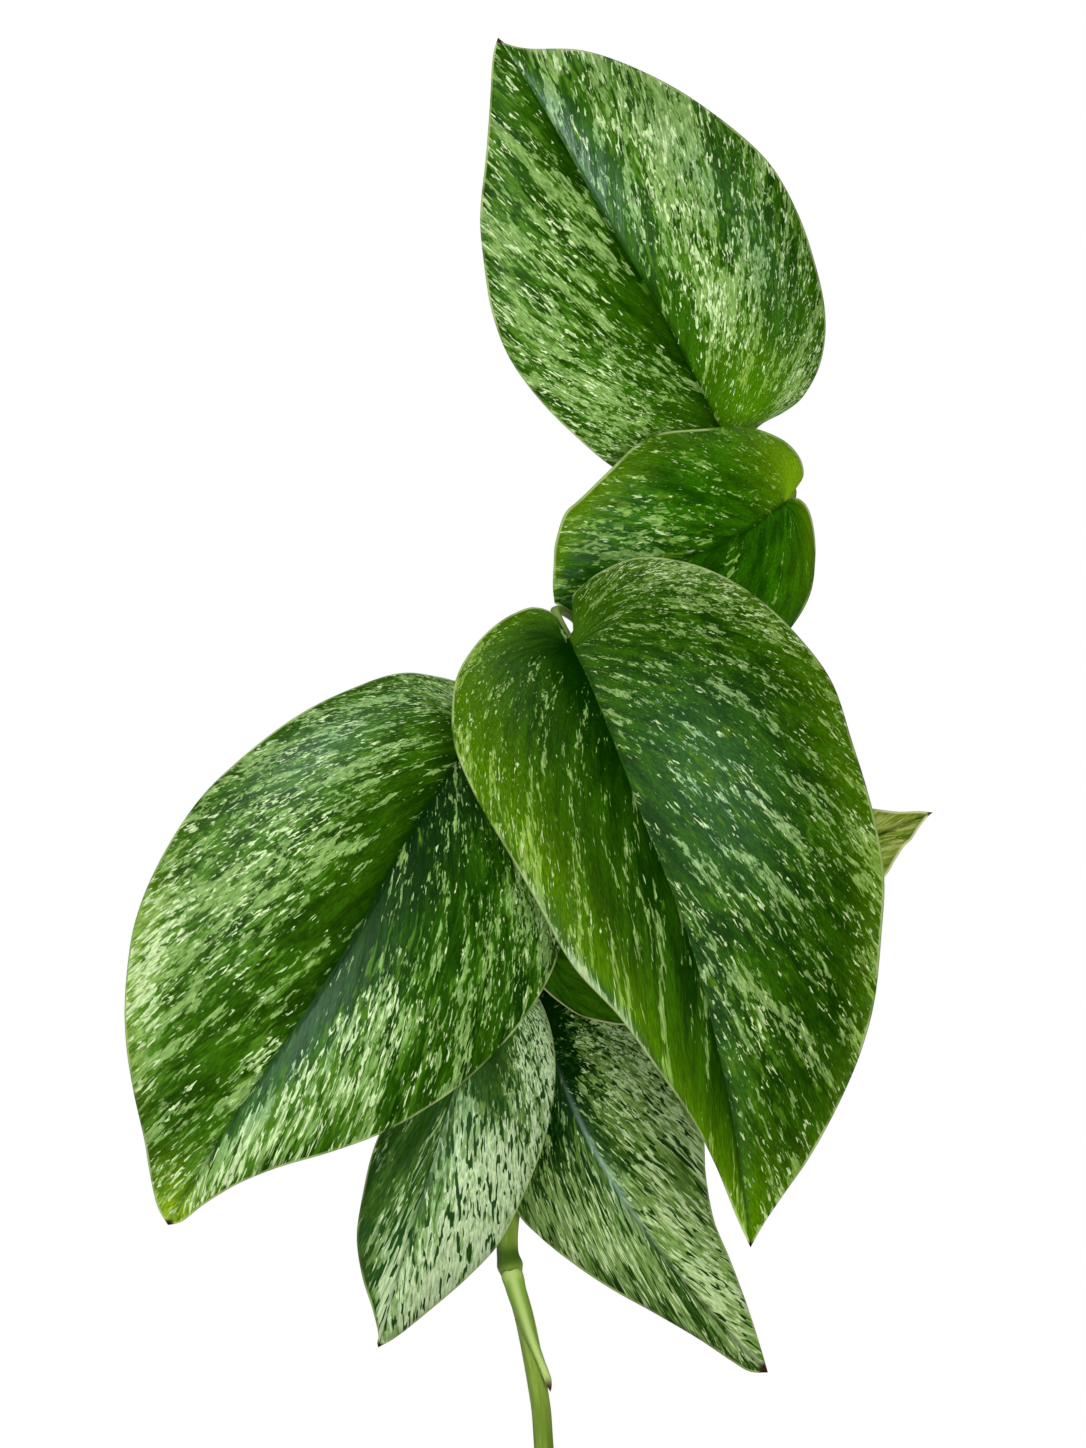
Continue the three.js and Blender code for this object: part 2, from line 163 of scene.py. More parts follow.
world = bpy.data.worlds.new("white_studio")
bpy.context.scene.world = world
world.use_nodes = True
world.node_tree.nodes.clear()
seen_white, room_light = (add(world.node_tree, "Background", {
    "Color": "#ffffff", "Strength": strength}) for strength in (1.0, ROOM_LIGHT))
seen = add(world.node_tree, "LightPath").outputs["Is Camera Ray"]
either = add(world.node_tree, "MixShader", {0: seen, 1: room_light, 2: seen_white})
add(world.node_tree, "OutputWorld", {"Surface": either})
bpy.context.scene.view_settings.view_transform = "Standard"

# %% [markdown]
# ## The floor
# The plant stands on a pale painted floor. A plane would show a horizon behind the pot, so the
# floor is a round disc, and towards its rim the paint gives way to a white glow that meets the
# background without an edge.

# %% Pale floor
FLOOR_RADIUS = 0.95
FLOOR_CLEAR_RADIUS = 0.22
FLOOR_WHITE_RADIUS = 0.85 * FLOOR_RADIUS


def matt_floor_paint():
    """Matt pale paint: even light grey in the middle, glowing out to white at the rim."""
    material, tree = new_material("matt_floor_paint")
    place = add(tree, "TexCoord").outputs["Object"]
    away = add(tree, "VectorMath", {0: place}, operation="LENGTH")
    rim = add(tree, "MapRange", {
        "Value": away, "From Min": FLOOR_CLEAR_RADIUS, "From Max": FLOOR_WHITE_RADIUS},
        interpolation_type="SMOOTHSTEP")
    paint = add(tree, "BsdfPrincipled", {
        "Base Color": "#e9e9e6", "Roughness": 0.9, "Specular IOR Level": 0.2})
    glow = add(tree, "Emission", {"Color": "#ffffff", "Strength": 1.0})
    both = add(tree, "MixShader", {0: rim, 1: paint, 2: glow})
    add(tree, "OutputMaterial", {"Surface": both})
    return material


def object_from(bm, name, *materials):
    """Turns a bmesh into a smooth-shaded object at the origin."""
    mesh = bpy.data.meshes.new(name)
    bm.to_mesh(mesh)
    bm.free()
    for material in materials:
        mesh.materials.append(material)
    mesh.shade_smooth()
    piece = bpy.data.objects.new(name, mesh)
    bpy.context.scene.collection.objects.link(piece)
    return piece


floor_bm = bmesh.new()
bmesh.ops.create_circle(floor_bm, cap_ends=True, cap_tris=False, segments=96, radius=FLOOR_RADIUS)
floor = object_from(floor_bm, "floor", matt_floor_paint())
print("floor", FLOOR_RADIUS * 2, "m across")

# %% [markdown]
# ## The leaf's plan
# A leaf blade of this plant is a pointed heart. A midrib runs from the notch, where the stalk
# joins, to the drawn-out tip, and the margin runs round each half. One could model it by hand with
# a subdivided plane, but its shape is a rule: a smooth midrib, two smooth margins, and veins
# between them. So each blade is given as a few points of those three lines, in millimetres along
# and across the line from notch to tip, and a grid is laid over the plan. In the lobes beside the
# notch all veins fan out from one place, and further on they sweep towards the tip.

# %% Curves, veins and lines of sight
LOBE_SHARE = 0.2
FAN_SHARE = 0.04
FAN_REACH = 0.02
VEIN_SWEEP = 1.12
# The solids were drawn for an eye 0.2 mm below the camera.
SIGHT_EYE = (-1.0, -1400.0, 260.0)


def smooth_line(points, samples=3000):
    """A curve through the points, as shares of its length, coordinates and the length."""
    p = np.array(points, float)
    last = len(p) - 1
    t = np.linspace(0, last, samples)
    i = np.minimum(t.astype(int), last - 1)
    w = (t - i)[:, None]
    before = p[np.maximum(i - 1, 0)]
    after = p[np.minimum(i + 2, last)]
    start, end = p[i], p[i + 1]
    leave = (end - before) / 2
    arrive = (after - start) / 2
    line = ((2 * start - 2 * end + leave + arrive) * w ** 3
            + (3 * end - 3 * start - 2 * leave - arrive) * w ** 2 + leave * w + start)
    run = np.concatenate([[0], np.cumsum(np.linalg.norm(np.diff(line, axis=0), axis=1))])
    return run / run[-1], line, run[-1]


def along_line(line, share):
    """The point of a smooth_line at each share of its length."""
    return np.stack([np.interp(share, line[0], line[1][:, k]) for k in range(line[1].shape[1])], -1)


def rib_share(share):
    """Where on the midrib the vein starts that ends at this share of the margin."""
    beyond = np.maximum(0, (share - LOBE_SHARE) / (1 - LOBE_SHARE))
    return FAN_REACH * np.minimum(1, share / FAN_SHARE) + (1 - FAN_REACH) * beyond ** VEIN_SWEEP


def to_sight(x, y, z):
    """Moves points of the plane Y = 0 back or forward to y, each along its line of sight."""
    spread = (y - SIGHT_EYE[1]) / -SIGHT_EYE[1]
    return np.stack([SIGHT_EYE[0] + (x - SIGHT_EYE[0]) * spread, y,
                     SIGHT_EYE[2] + (z - SIGHT_EYE[2]) * spread], -1)


print("the veins leave the fan at", LOBE_SHARE, "of the margin")

# %% A blade from its outline
VEIN_BOW = 0.12
BULGE_LEAN = 0.85
FULL_WAVE_WIDTH = 40.0


class Blade:
    """One blade's plan: its axis, its midrib and its two margins, all in millimetres."""

    def __init__(self, shape):
        self.shape = shape
        self.notch = np.array(shape["notch"], float)
        axis = np.array(shape["tip"], float) - self.notch
        self.length = float(np.linalg.norm(axis))
        self.axis = axis / self.length
        self.midrib = self.line_through(shape["midrib"])
        self.margins = {1: self.line_through(shape["right"]), -1: self.line_through(shape["left"])}

    def line_through(self, points):
        """A smooth line from the notch through the points to the tip."""
        return smooth_line([[0, 0], *points, [self.length, 0]])

    def lift(self, flat, extra):
        """Points of the plan as points in space; extra is what the relief adds to their depth."""
        s = self.shape
        arch = s["arch"] * ((flat[..., 0] / self.length - s["peak"]) / (1 - s["peak"])) ** 2
        y = s["depth"] + arch + s["turn"] * flat[..., 1] + extra
        x = self.notch[0] + self.axis[0] * flat[..., 0] + self.axis[1] * flat[..., 1]
        z = self.notch[1] + self.axis[1] * flat[..., 0] - self.axis[0] * flat[..., 1]
        return to_sight(x, y, z)

    def rib_point(self, reach, behind):
        """The midrib at a share of its length, set back by so many millimetres."""
        return self.lift(along_line(self.midrib, reach), behind)

    def face(self, side, share, out):
        """Plan, relief and half-width at shares of the margin and shares out to it."""
        s = self.shape
        edge = along_line(self.margins[side], share)
        reach = rib_share(share)
        rib = along_line(self.midrib, reach)
        width = np.linalg.norm(edge - rib, axis=-1)
        flat = rib + (edge - rib) * out[..., None]
        flat[..., 0] -= 2 * out * (1 - out) * VEIN_BOW * width * np.sin(math.pi * reach)
        fall = s["fall"][0 if side > 0 else 1] * out * width
        bulge = (s["roll"] * out ** 3 - s["camber"] * np.sin(math.pi * out ** BULGE_LEAN)) * width
        wave = (s["wave"] * width / FULL_WAVE_WIDTH * out ** 2
                * np.sin(2 * math.pi * s["waves"] * share + s["phase"] + side))
        return flat, fall + bulge + wave, width


print("a margin waves in full where a half is", FULL_WAVE_WIDTH, "mm wide")

# %% [markdown]
# ## Seven blades
# No two leaves of a plant are alike: each has its own lean, lobes and wavy margin, so these seven
# were drawn one by one. Notch and tip are x and z in the frame's plane. Depth is the y of the
# blade where it comes nearest, at the share peak of its length, and arch is how far its tip lies
# behind that. Turn tilts the blade to one side, and fall folds its right and left half back.
# Camber bulges each half forward, roll turns its margin back, and wave, waves and phase ruffle it.

# %% Outlines of the seven blades
BLADES = {
    "leaf_top": {
        "notch": [36, 316], "tip": [-10, 397.5],
        "midrib": [[27, 1.5], [51, 1], [76, 1]],
        "right": [[-1, 3], [0.3, 8], [0.2, 13], [1.1, 18], [5.2, 24.2], [12, 29.2], [21, 32.5],
                  [34, 35], [47, 34.5], [62.5, 28.5], [74, 21.5], [83, 13.5], [88.5, 4.5],
                  [91.5, 1]],
        "left": [[-2.5, -6], [-1, -13.5], [2.5, -18.5], [8, -22.5], [17.5, -26], [27, -28.5],
                 [37, -29.5], [46.5, -28], [56, -24.5], [64.5, -20.5], [74.5, -13.5],
                 [83.5, -7.5], [90.5, -3]],
        "depth": -9, "peak": 0.25, "arch": 22, "turn": 0.2, "fall": [0.05, 0.12],
        "camber": 0.11, "roll": 0.07, "wave": 0.9, "waves": 2.6, "phase": 1},
    "leaf_young": {
        "notch": [48, 305], "tip": [1.3, 284.4],
        "midrib": [[13.5, -2.5], [31, -2]],
        "right": [[-2.5, 1.5], [-5, 3.5], [-5.5, 7.5], [-3.5, 12], [2, 17], [10, 20],
                  [17.5, 22.5], [23, 22.5], [30, 20], [38, 17], [42, 15.5], [46, 11],
                  [47.9, 7.5], [50, 3.2]],
        "left": [[-2, -0.5], [-3, -3], [-2.5, -7], [-0.5, -12.5], [3.5, -19], [9.5, -23.5],
                 [17, -26.5], [26.5, -26], [35.5, -21], [42, -13], [46.5, -6.5], [49.5, -2.2]],
        "depth": -27, "peak": 0.45, "arch": 5, "turn": 0.08, "fall": [0.12, 0.05],
        "camber": 0.13, "roll": 0.1, "wave": 0.6, "waves": 2.2, "phase": 0.5},
    "leaf_front": {
        "notch": [4, 277.5], "tip": [40.5, 155.5],
        "midrib": [[12.5, -2], [37.5, -4], [64.5, -6], [90.5, -5], [106, -3.5], [118, -1.5]],
        "right": [[-0.2, 0.7], [-1.3, 1], [-2.7, 0.9], [-4.9, 1], [-6.5, 2.4], [-7.5, 4.1],
                  [-8, 6.5], [-7, 12], [-4, 18], [1, 23.5], [7.5, 26.5], [14.5, 28], [24.5, 27],
                  [35, 24.5], [47.5, 21.5], [63, 18], [75.5, 12], [87, 8], [99, 4], [109.5, 2],
                  [120, 1]],
        "left": [[-0.8, -1], [-1.6, -2], [-2.8, -2.4], [-5, -2.7], [-6.6, -2.8], [-7.9, -3.4],
                 [-9.2, -5.7], [-10.6, -9.5], [-11.5, -16.5], [-9.5, -23.5], [-4.5, -31.5],
                 [3, -38.5], [12.5, -44], [23.5, -48], [36.5, -48.5], [50.5, -48.5], [63.5, -47],
                 [75, -43], [87, -38], [96, -32.5], [104.5, -25.5], [113, -17], [119, -9.5],
                 [123.5, -4]],
        "depth": -63, "peak": 0.4, "arch": 14, "turn": -0.05, "fall": [0.32, 0.06],
        "camber": 0.11, "roll": 0.08, "wave": 1.1, "waves": 3.1, "phase": 2},
    "leaf_left": {
        "notch": [-12, 260.5], "tip": [-76, 160],
        "midrib": [[20, 1.5], [56, -0.5], [98, 0.5]],
        "right": [[-3, -0.5], [-4.5, 1.5], [-4.5, 6], [-2.5, 13], [1, 20], [8, 26],
                  [18.5, 32.5], [31.5, 37.5], [44.5, 40.5], [59, 40.5], [72, 38], [84, 32.5],
                  [92.5, 27], [100, 20.5], [107, 13.5], [112, 9], [117, 4]],
        "left": [[-2, -3], [-0.5, -9.5], [5, -17.5], [13, -26], [21.5, -32.5], [30.5, -36.5],
                 [39.5, -38], [50, -37.5], [62, -35], [72, -31], [81, -26], [89.5, -19.5],
                 [97.5, -12.5], [104.5, -7.5], [111.5, -4], [117, -2]],
        "depth": -36, "peak": 0.35, "arch": 16, "turn": 0.2, "fall": [0.08, 0.08],
        "camber": 0.1, "roll": 0.07, "wave": 1.1, "waves": 2.7, "phase": 4},
    "leaf_hanging": {
        "notch": [-10, 207], "tip": [-34, 135.5],
        "midrib": [[11, 2], [32, 1.5], [54, 1]],
        "right": [[-1.5, 2.5], [1, 6.5], [8.5, 10], [19, 12.5], [30.5, 13], [39, 13.5],
                  [48.5, 12.5], [56, 11], [63, 7.5], [68.5, 3.5], [72.5, 1]],
        "left": [[-3.5, -1.5], [-3, -6], [2.5, -11.5], [10, -15.5], [17.5, -17.5],
                 [26.5, -18.5], [37, -18], [47.5, -16.5], [56.5, -12.5], [65, -7.5], [72, -3]],
        "depth": -25, "peak": 0.45, "arch": 10, "turn": -0.12, "fall": [0.25, 0.2],
        "camber": 0.13, "roll": 0.1, "wave": 0.7, "waves": 2.4, "phase": 3},
    "leaf_low": {
        "notch": [-0.5, 199], "tip": [44, 130.5],
        "midrib": [[9.5, 2.5], [27, 5], [49.5, 5], [70, 2.5]],
        "right": [[-1, 3], [2, 8.5], [9.5, 15], [17.5, 20.5], [26.5, 24.5], [34, 23.5],
                  [43, 20.5], [51, 17], [59.5, 12.5], [68.5, 8], [75.5, 5], [79.5, 3]],
        "left": [[-3.5, -0.8], [-6.8, -2.2], [-8.6, -5], [-8, -9.5], [-3.5, -14], [2.5, -17],
                 [8, -18.5], [14.5, -19.3], [24.5, -18.5], [34, -15.5], [42, -11],
                 [50.5, -7.5], [58.5, -6], [67.5, -4], [75, -2]],
        "depth": -10, "peak": 0.35, "arch": 10, "turn": 0.06, "fall": [0.08, 0.25],
        "camber": 0.1, "roll": 0.06, "wave": 0.8, "waves": 2.2, "phase": 5},
    "leaf_back": {
        "notch": [-1.5, 216], "tip": [77, 242.5],
        "midrib": [[12, 2], [45.5, 3], [71, 0.5]],
        "right": [[-3, 1], [-4, 5], [-2.5, 8], [-0.5, 11.5], [3, 16], [7.5, 19], [12, 21],
                  [21.5, 23], [34.5, 22.5], [48.5, 18.5], [60.5, 14], [69.6, 9.1],
                  [72.4, 6.8], [75.2, 4.6], [77, 3.8], [79.1, 2.1], [81.7, 0.4]],
        "left": [[-1, -3.5], [2, -7.5], [9.5, -12.5], [20.5, -16.5], [33.5, -17.5],
                 [47.5, -15], [60.5, -10], [71.7, -4.6], [76.3, -2.4], [80.2, -1.2]],
        "depth": -19, "peak": 0.25, "arch": 30, "turn": 0.12, "fall": [0.1, 0.1],
        "camber": 0.12, "roll": 0.08, "wave": 0.7, "waves": 2.3, "phase": 2.5},
}
blades = {name: Blade(shape) for name, shape in BLADES.items()}
for name, blade in blades.items():
    print(name, "is", round(blade.length), "mm long")

# %% [markdown]
# ## Where the flecks lie
# The flecks of a variegated leaf are patches of cells without chlorophyll. They form in stripes
# that follow the veins, dense in some sectors and missing in others. Their small shapes come from
# noise in the material, stretched along the veins. How dense they are in each part of a leaf is
# painted, as one would with a soft brush in weight paint, but in numbers, so that it can be read
# and changed. Four tones are kept on the mesh as one attribute. Pale is the share of pale tissue.
# Lime is how yellow the green is: the yellower green of young tissue and tips, and in places a
# painted glow of light. The third tone is painted sheen, a bluish reflection of the window laid
# into the colour. Deep is mostly painted shade: how dark the green is made in the groove of the
# midrib, near the notches and under the leaves above. It also darkens a small nick in one margin.
# Each list starts with the level of the whole half. Soft patches follow, each as (place along the
# margin, place out from the midrib, reach along, reach out, amount). All are in hundredths.

# %% Tones of each half of each blade
PAINT = {
    "leaf_top": {
        "right": {"pale": [28, (0, 10, 10, 40, -40), (20, 30, 12, 35, -14), (15, 80, 10, 30, 30),
                     (45, 30, 12, 20, 35), (70, 55, 10, 20, 25), (50, 0, 35, 14, -35),
                     (95, 5, 8, 20, 40), (80, 98, 30, 10, 10), (84, 15, 8, 30, -15),
                     (84, 80, 8, 30, 15), (50, 35, 15, 12, 12)],
                  "lime": [6, (5, 20, 15, 60, 100), (24, 30, 12, 35, 60)],
                  "painted_sheen": [0, (78, 15, 16, 20, 100), (50, 70, 20, 15, 70)],
                  "deep": [0, (77.2, 97, 1.4, 5, 400)]},
        "left": {"pale": [38, (35, 0, 50, 30, -40), (97, 70, 16, 80, -10)],
                 "lime": [5, (12, 30, 14, 50, 70)],
                 "deep": [0, (40, 0, 50, 12, 60)]}},
    "leaf_young": {
        # The lime beside this leaf's notch is a painted glow of light through the blade.
        "right": {"pale": [12, (66, 25, 10, 30, 30), (0, 60, 16, 80, -50), (90, 95, 16, 35, 22),
                     (30, 20, 16, 40, -30)],
                  "lime": [0, (0, 60, 20, 80, 150), (80, 95, 30, 20, 40)],
                  "painted_sheen": [0, (72, 25, 10, 25, 25)],
                  "deep": [0, (35, 30, 20, 40, 20)]},
        "left": {"pale": [-15],
                 "lime": [0, (8, 90, 20, 35, 40)],
                 "deep": [0, (50, 10, 20, 30, 40)]}},
    # The lime along this leaf's margin is partly a painted glow of light, and the sheen where it
    # rolls under is a painted reflection.
    "leaf_front": {
        "right": {"pale": [6, (22, 0, 15, 15, -40), (6, 20, 12, 50, -70), (78, 50, 8, 25, -35),
                     (45, 100, 45, 28, 30), (62, 100, 13, 5, 70), (97, 0, 10, 40, 10),
                     (50, 20, 12, 30, -20)],
                  "lime": [0, (50, 100, 50, 35, 70), (100, 50, 12, 120, 70),
                     (62, 100, 13, 7, -110)],
                  "painted_sheen": [0, (62, 100, 13, 7, 140)],
                  "deep": [0, (0, 0, 35, 50, 90), (50, 0, 50, 22, 60)]},
        "left": {"pale": [8, (0, 20, 12, 50, -80), (12, 80, 12, 40, 10), (12, 70, 12, 30, 20),
                    (80, 30, 10, 40, 12), (20, 95, 10, 20, 25), (45, 35, 10, 25, 15),
                    (70, 15, 14, 20, 20), (55, 65, 10, 20, 15), (60, 100, 50, 12, 30),
                    (97, 90, 10, 40, 30)],
                 "lime": [0, (0, 30, 14, 60, 30), (60, 100, 40, 14, 50), (100, 50, 10, 100, 70)],
                 "painted_sheen": [0, (45, 35, 12, 25, 110), (75, 5, 25, 15, 30)],
                 "deep": [0, (75, 80, 20, 40, 30)]}},
    "leaf_left": {
        "right": {"pale": [30, (42, 0, 30, 25, -45), (50, 60, 10, 15, 25), (65, 95, 10, 20, 30),
                     (80, 5, 10, 15, 30), (95, 40, 12, 60, 5), (6, 60, 8, 30, 50),
                     (82, 35, 8, 20, -35), (72, 90, 8, 12, 30)],
                  "lime": [2, (70, 100, 12, 12, 50), (100, 50, 6, 100, 90)],
                  "painted_sheen": [0, (30, 70, 10, 20, 60)],
                  "deep": [0, (70, 0, 30, 7, 40), (40, 0, 25, 20, 40)]},
        "left": {"pale": [0, (88, 50, 25, 90, 60), (32, 95, 12, 30, 30), (70, 30, 12, 15, 20),
                    (60, 45, 7, 25, 30), (22, 60, 16, 50, 30), (75, 5, 18, 20, -35),
                    (75, 62, 12, 20, 25)],
                 "lime": [0, (100, 50, 6, 100, 90)],
                 "painted_sheen": [0, (75, 20, 16, 25, 80)],
                 "deep": [0, (35, 10, 30, 25, 90), (60, 0, 40, 5, 30), (50, 80, 10, 30, 30)]}},
    "leaf_hanging": {
        "right": {"pale": [26, (94, 40, 14, 50, 90), (45, 25, 14, 50, -45), (78, 5, 14, 30, 50),
                     (85, 100, 16, 25, -60), (64, 80, 8, 50, -20)],
                  "deep": [0, (35, 40, 20, 120, 50)]},
        "left": {"pale": [84, (30, 15, 13, 30, -150), (42, 55, 8, 40, -60), (68, 5, 16, 20, -50),
                    (14, 70, 7, 40, -20), (60, 95, 30, 20, 20), (60, 62, 35, 20, 35)],
                 "lime": [10],
                 "painted_sheen": [0, (55, 10, 20, 25, 90), (15, 60, 10, 50, 60)],
                 "deep": [0, (30, 15, 10, 22, 120)]}},
    "leaf_low": {
        "right": {"pale": [40, (22, 20, 20, 60, -60), (52, 40, 10, 50, 20), (65, 60, 8, 25, 25),
                     (95, 50, 10, 80, 10), (97, 10, 8, 30, 50)],
                  "painted_sheen": [0, (50, 0, 14, 16, 100)],
                  "deep": [0, (24, 20, 24, 80, 150)]},
        "left": {"pale": [66, (5, 20, 16, 80, -120), (35, 0, 12, 20, -40), (30, 90, 10, 25, 30),
                    (50, 15, 8, 20, -30), (26, 15, 8, 20, -30), (83, 40, 10, 50, 20),
                    (97, 10, 8, 30, 50)],
                 "lime": [10],
                 "painted_sheen": [0, (50, 0, 14, 10, 100)],
                 "deep": [0, (5, 30, 26, 120, 260), (33, 0, 14, 15, 80)]}},
    "leaf_back": {
        "right": {"pale": [12, (20, 50, 30, 150, -80), (88, 60, 20, 80, 50)],
                  "lime": [0, (88, 60, 20, 80, 30)]},
        "left": {"pale": [30, (85, 50, 20, 60, 30)],
                 "lime": [60]}},
}
# The tones: pale tissue, lime that is partly painted glow, painted sheen, and deep, which is mostly
# painted shade.
TONES = ("pale", "lime", "painted_sheen", "deep")


def painted_tone(paint, side, share, out):
    """The four tones at each point of one half of a blade; what isn't painted is 0."""
    half = paint.get("right" if side > 0 else "left", {})
    tone = np.zeros((len(share), len(TONES)))
    for k, what in enumerate(TONES):
        level, *patches = half.get(what, [0])
        tone[:, k] = level / 100
        for patch in patches:
            at_share, at_out, reach_share, reach_out, amount = (v / 100 for v in patch)
            far = ((share - at_share) / reach_share) ** 2 + ((out - at_out) / reach_out) ** 2
            tone[:, k] += amount * np.exp(-far)
    return tone


print("painted blades:", len(PAINT))

# %% [markdown]
# ## The blade's mesh
# A grid is made by one operator and its points are moved onto the blade: rows run from the notch
# to the tip, and columns from margin to margin with the midrib in the middle. The columns crowd
# towards the midrib and the margins, where the surface bends most. The rule above gives the large
# form. On top come the small forms that light picks out: the groove over the midrib, low ridges
# between the side veins, and a margin that rolls under. Two layers of data go with it: the UV map
# runs across and along the veins, for the flecks, and the place attribute keeps the distances
# from margin, midrib and tip. A Solidify modifier then gives the blade its thickness, which thins
# towards the margin.

# %% Relief and coordinates of a blade
VEIN_SPACING = 2.4
VEIN_CLEARANCE = 4.0
VEIN_LEAN = 0.55
LEAN_RISE = 0.5
BLADE_RELIEF = (0.09, 0.4)
FLAT_RELIEF = (0.0, 0.0)
GROOVE_WIDTH = 0.55
GROOVE_FULL_WIDTH = 6.0
CURL_START = 0.88
CURL_DEPTH = 0.9
CURL_FULL_WIDTH = 10.0
SHEET_UNIT = 100.0
LEFT_HALF_SHIFT = 3.0


def rise(share):
    """0 at the notch and 1 from LEAN_RISE on: how far the veins have left the fan."""
    return 1 - (1 - np.minimum(share / LEAN_RISE, 1)) ** 2


def vein_place(margin_length, width, share, out):
    """Coordinates across and along the side veins, in millimetres."""
    swept = share + VEIN_LEAN * (1 - share) * rise(share) * (1 - out)
    slant = math.atan2(0.5 * VEIN_LEAN * margin_length, np.max(width))
    return swept * margin_length * math.cos(slant), out * width / math.cos(slant)


def blade_arrays(blade, paint, relief, side, share, out):
    """Points, vein coordinates, places and tones of the grid's points on one half."""
    vein_height, groove_depth = relief
    flat, form, width = blade.face(side, share, out)
    across, along = vein_place(blade.margins[side][2], width, share, out)
    clear = (np.minimum(1, out * width / VEIN_CLEARANCE)
             * np.minimum(1, (1 - out) * width / VEIN_CLEARANCE))
    ridges = -vein_height * clear * np.cos(2 * math.pi * across / VEIN_SPACING)
    groove = groove_depth * np.exp(-(out * width / GROOVE_WIDTH) ** 2)
    groove *= np.minimum(1, width / GROOVE_FULL_WIDTH)
    curl = CURL_DEPTH * np.maximum(0, (out - CURL_START) / (1 - CURL_START)) ** 2
    curl *= np.minimum(1, width / CURL_FULL_WIDTH)
    points = blade.lift(flat, form + ridges + groove + curl)
    sheet = np.stack([across / SHEET_UNIT + (LEFT_HALF_SHIFT if side < 0 else 0),
                      along / SHEET_UNIT], -1)
    place = np.stack([(1 - out) * width, out * width, (1 - share) * blade.length], -1)
    return points, sheet, place, painted_tone(paint, side, share, out)


print("side veins are", VEIN_SPACING, "mm apart")

# %% Grid of a blade
BLADE_GRID = (150, 40)
BLADE_THICKNESS = 0.8
EDGE_THINNESS = 0.6
EDGE_FADE = 3.0
COLUMN_CROWDING = 0.6


def blade_object(name, blade, paint, relief, grid_size, thickness, *materials):
    """A blade as a grid of (rows, columns of a half) with its data and a Solidify modifier."""
    bm = bmesh.new()
    bmesh.ops.create_grid(bm, x_segments=2 * grid_size[1], y_segments=grid_size[0], size=1.0)
    bm.verts.index_update()
    grid = np.array([v.co[:2] for v in bm.verts])
    share = np.clip((grid[:, 1] + 1) / 2, 0, 1)
    even = np.abs(grid[:, 0])
    out = even - COLUMN_CROWDING * np.sin(2 * math.pi * even) / (2 * math.pi)
    out = np.clip(out, 0, 1)
    halves = {side: blade_arrays(blade, paint, relief, side, share, out) for side in (1, -1)}
    right = grid[:, :1] > 0
    points, place, tone = (np.where(right, halves[1][k], halves[-1][k]) for k in (0, 2, 3))
    vein_layer = bm.loops.layers.uv.new("veins")
    place_layer = bm.verts.layers.float_color.new("place")
    tone_layer = bm.verts.layers.float_color.new("tone")
    edge_group = bm.verts.layers.deform.verify()
    for face in bm.faces:
        side = 1 if sum(grid[v.index][0] for v in face.verts) > 0 else -1
        for loop in face.loops:
            loop[vein_layer].uv = halves[side][1][loop.vert.index]
    for v in bm.verts:
        v.co = points[v.index] * MM
        v[place_layer] = (*place[v.index], 1)
        v[tone_layer] = tone[v.index]
        v[edge_group][0] = float(min(1, place[v.index][0] / EDGE_FADE))
    bmesh.ops.remove_doubles(bm, verts=bm.verts, dist=2e-6)
    bmesh.ops.dissolve_degenerate(bm, edges=bm.edges, dist=1e-7)
    if sum(f.normal.y * f.calc_area() for f in bm.faces) > 0:
        bmesh.ops.reverse_faces(bm, faces=bm.faces)
    piece = object_from(bm, name, *materials)
    piece.vertex_groups.new(name="full_thickness")
    wall = piece.modifiers.new("blade_thickness", "SOLIDIFY")
    wall.thickness = thickness * MM
    wall.offset = -1
    wall.vertex_group = "full_thickness"
    wall.thickness_vertex_group = EDGE_THINNESS
    wall.material_offset = 1
    wall.material_offset_rim = 2
    return piece


print("a blade has about", 8 * BLADE_GRID[0] * BLADE_GRID[1], "triangles")

# %% [markdown]
# ## Noise along the veins
# Flecks, clouds of green and fine fibres all lie along the veins. Brush strokes on an image could
# show them, but noise stays sharp from close by and is never the same on two leaves. Each pattern
# has its real size in millimetres across and along the veins. Only the grain is drawn coarser than
# it is: it stands for the cells, which are 0.05 mm across and would not show. A field of flecks is
# a weighted sum of noises of several sizes plus the painted density, cut off at a half: where the
# leaf is painted paler, more of the noise rises above the cut.

# %% Noises and fields of flecks
# Size across and along in mm, place in the noise, detail and distortion.
NOISES = {
    "clouds": ((3.5, 11.0), 3.0, 3.0, 0.3),
    "grain": ((0.45, 0.9), 5.0, 2.0, 0.0),
    "strength": ((0.9, 1.8), 11.0, 2.0, 0.2),
    "fibres": ((0.9, 9.0), 17.0, 2.0, 0.0),
    "runs": ((9.0, 60.0), 23.0, 2.0, 0.0),
}
BAND_MM = (5.0, 30.0)
CLUSTER_MM = (3.4, 8.0)
STREAK_MM = (1.4, 3.2)
FLECK_MM = (0.6, 1.1)
CREAM_MM = (0.7, 1.9)
DASH_MM = (0.75, 2.0)
# Place in the noise, then each noise's size, weight, detail and distortion.
FLECKS = {
    "half": (61.0, (CLUSTER_MM, 1.6, 2.0, 0.3), (STREAK_MM, 1.6, 2.0, 0.4)),
    "silver": (0.0, (BAND_MM, 2.0, 2.0, 0.2), (CLUSTER_MM, 1.2, 2.0, 0.3),
               (STREAK_MM, 1.9, 2.0, 0.4), (FLECK_MM, 1.2, 2.0, 0.4)),
    "cream": (31.0, (CLUSTER_MM, 1.2, 2.0, 0.2), (STREAK_MM, 1.0, 2.0, 0.4),
              (CREAM_MM, 2.4, 2.0, 0.4)),
    "dashes": (43.0, (CLUSTER_MM, 1.2, 2.0, 0.3), (DASH_MM, 2.8, 1.0, 0.3)),
}
TERM_SHIFT = 7.0
SIDE_SHIFT = 2.3


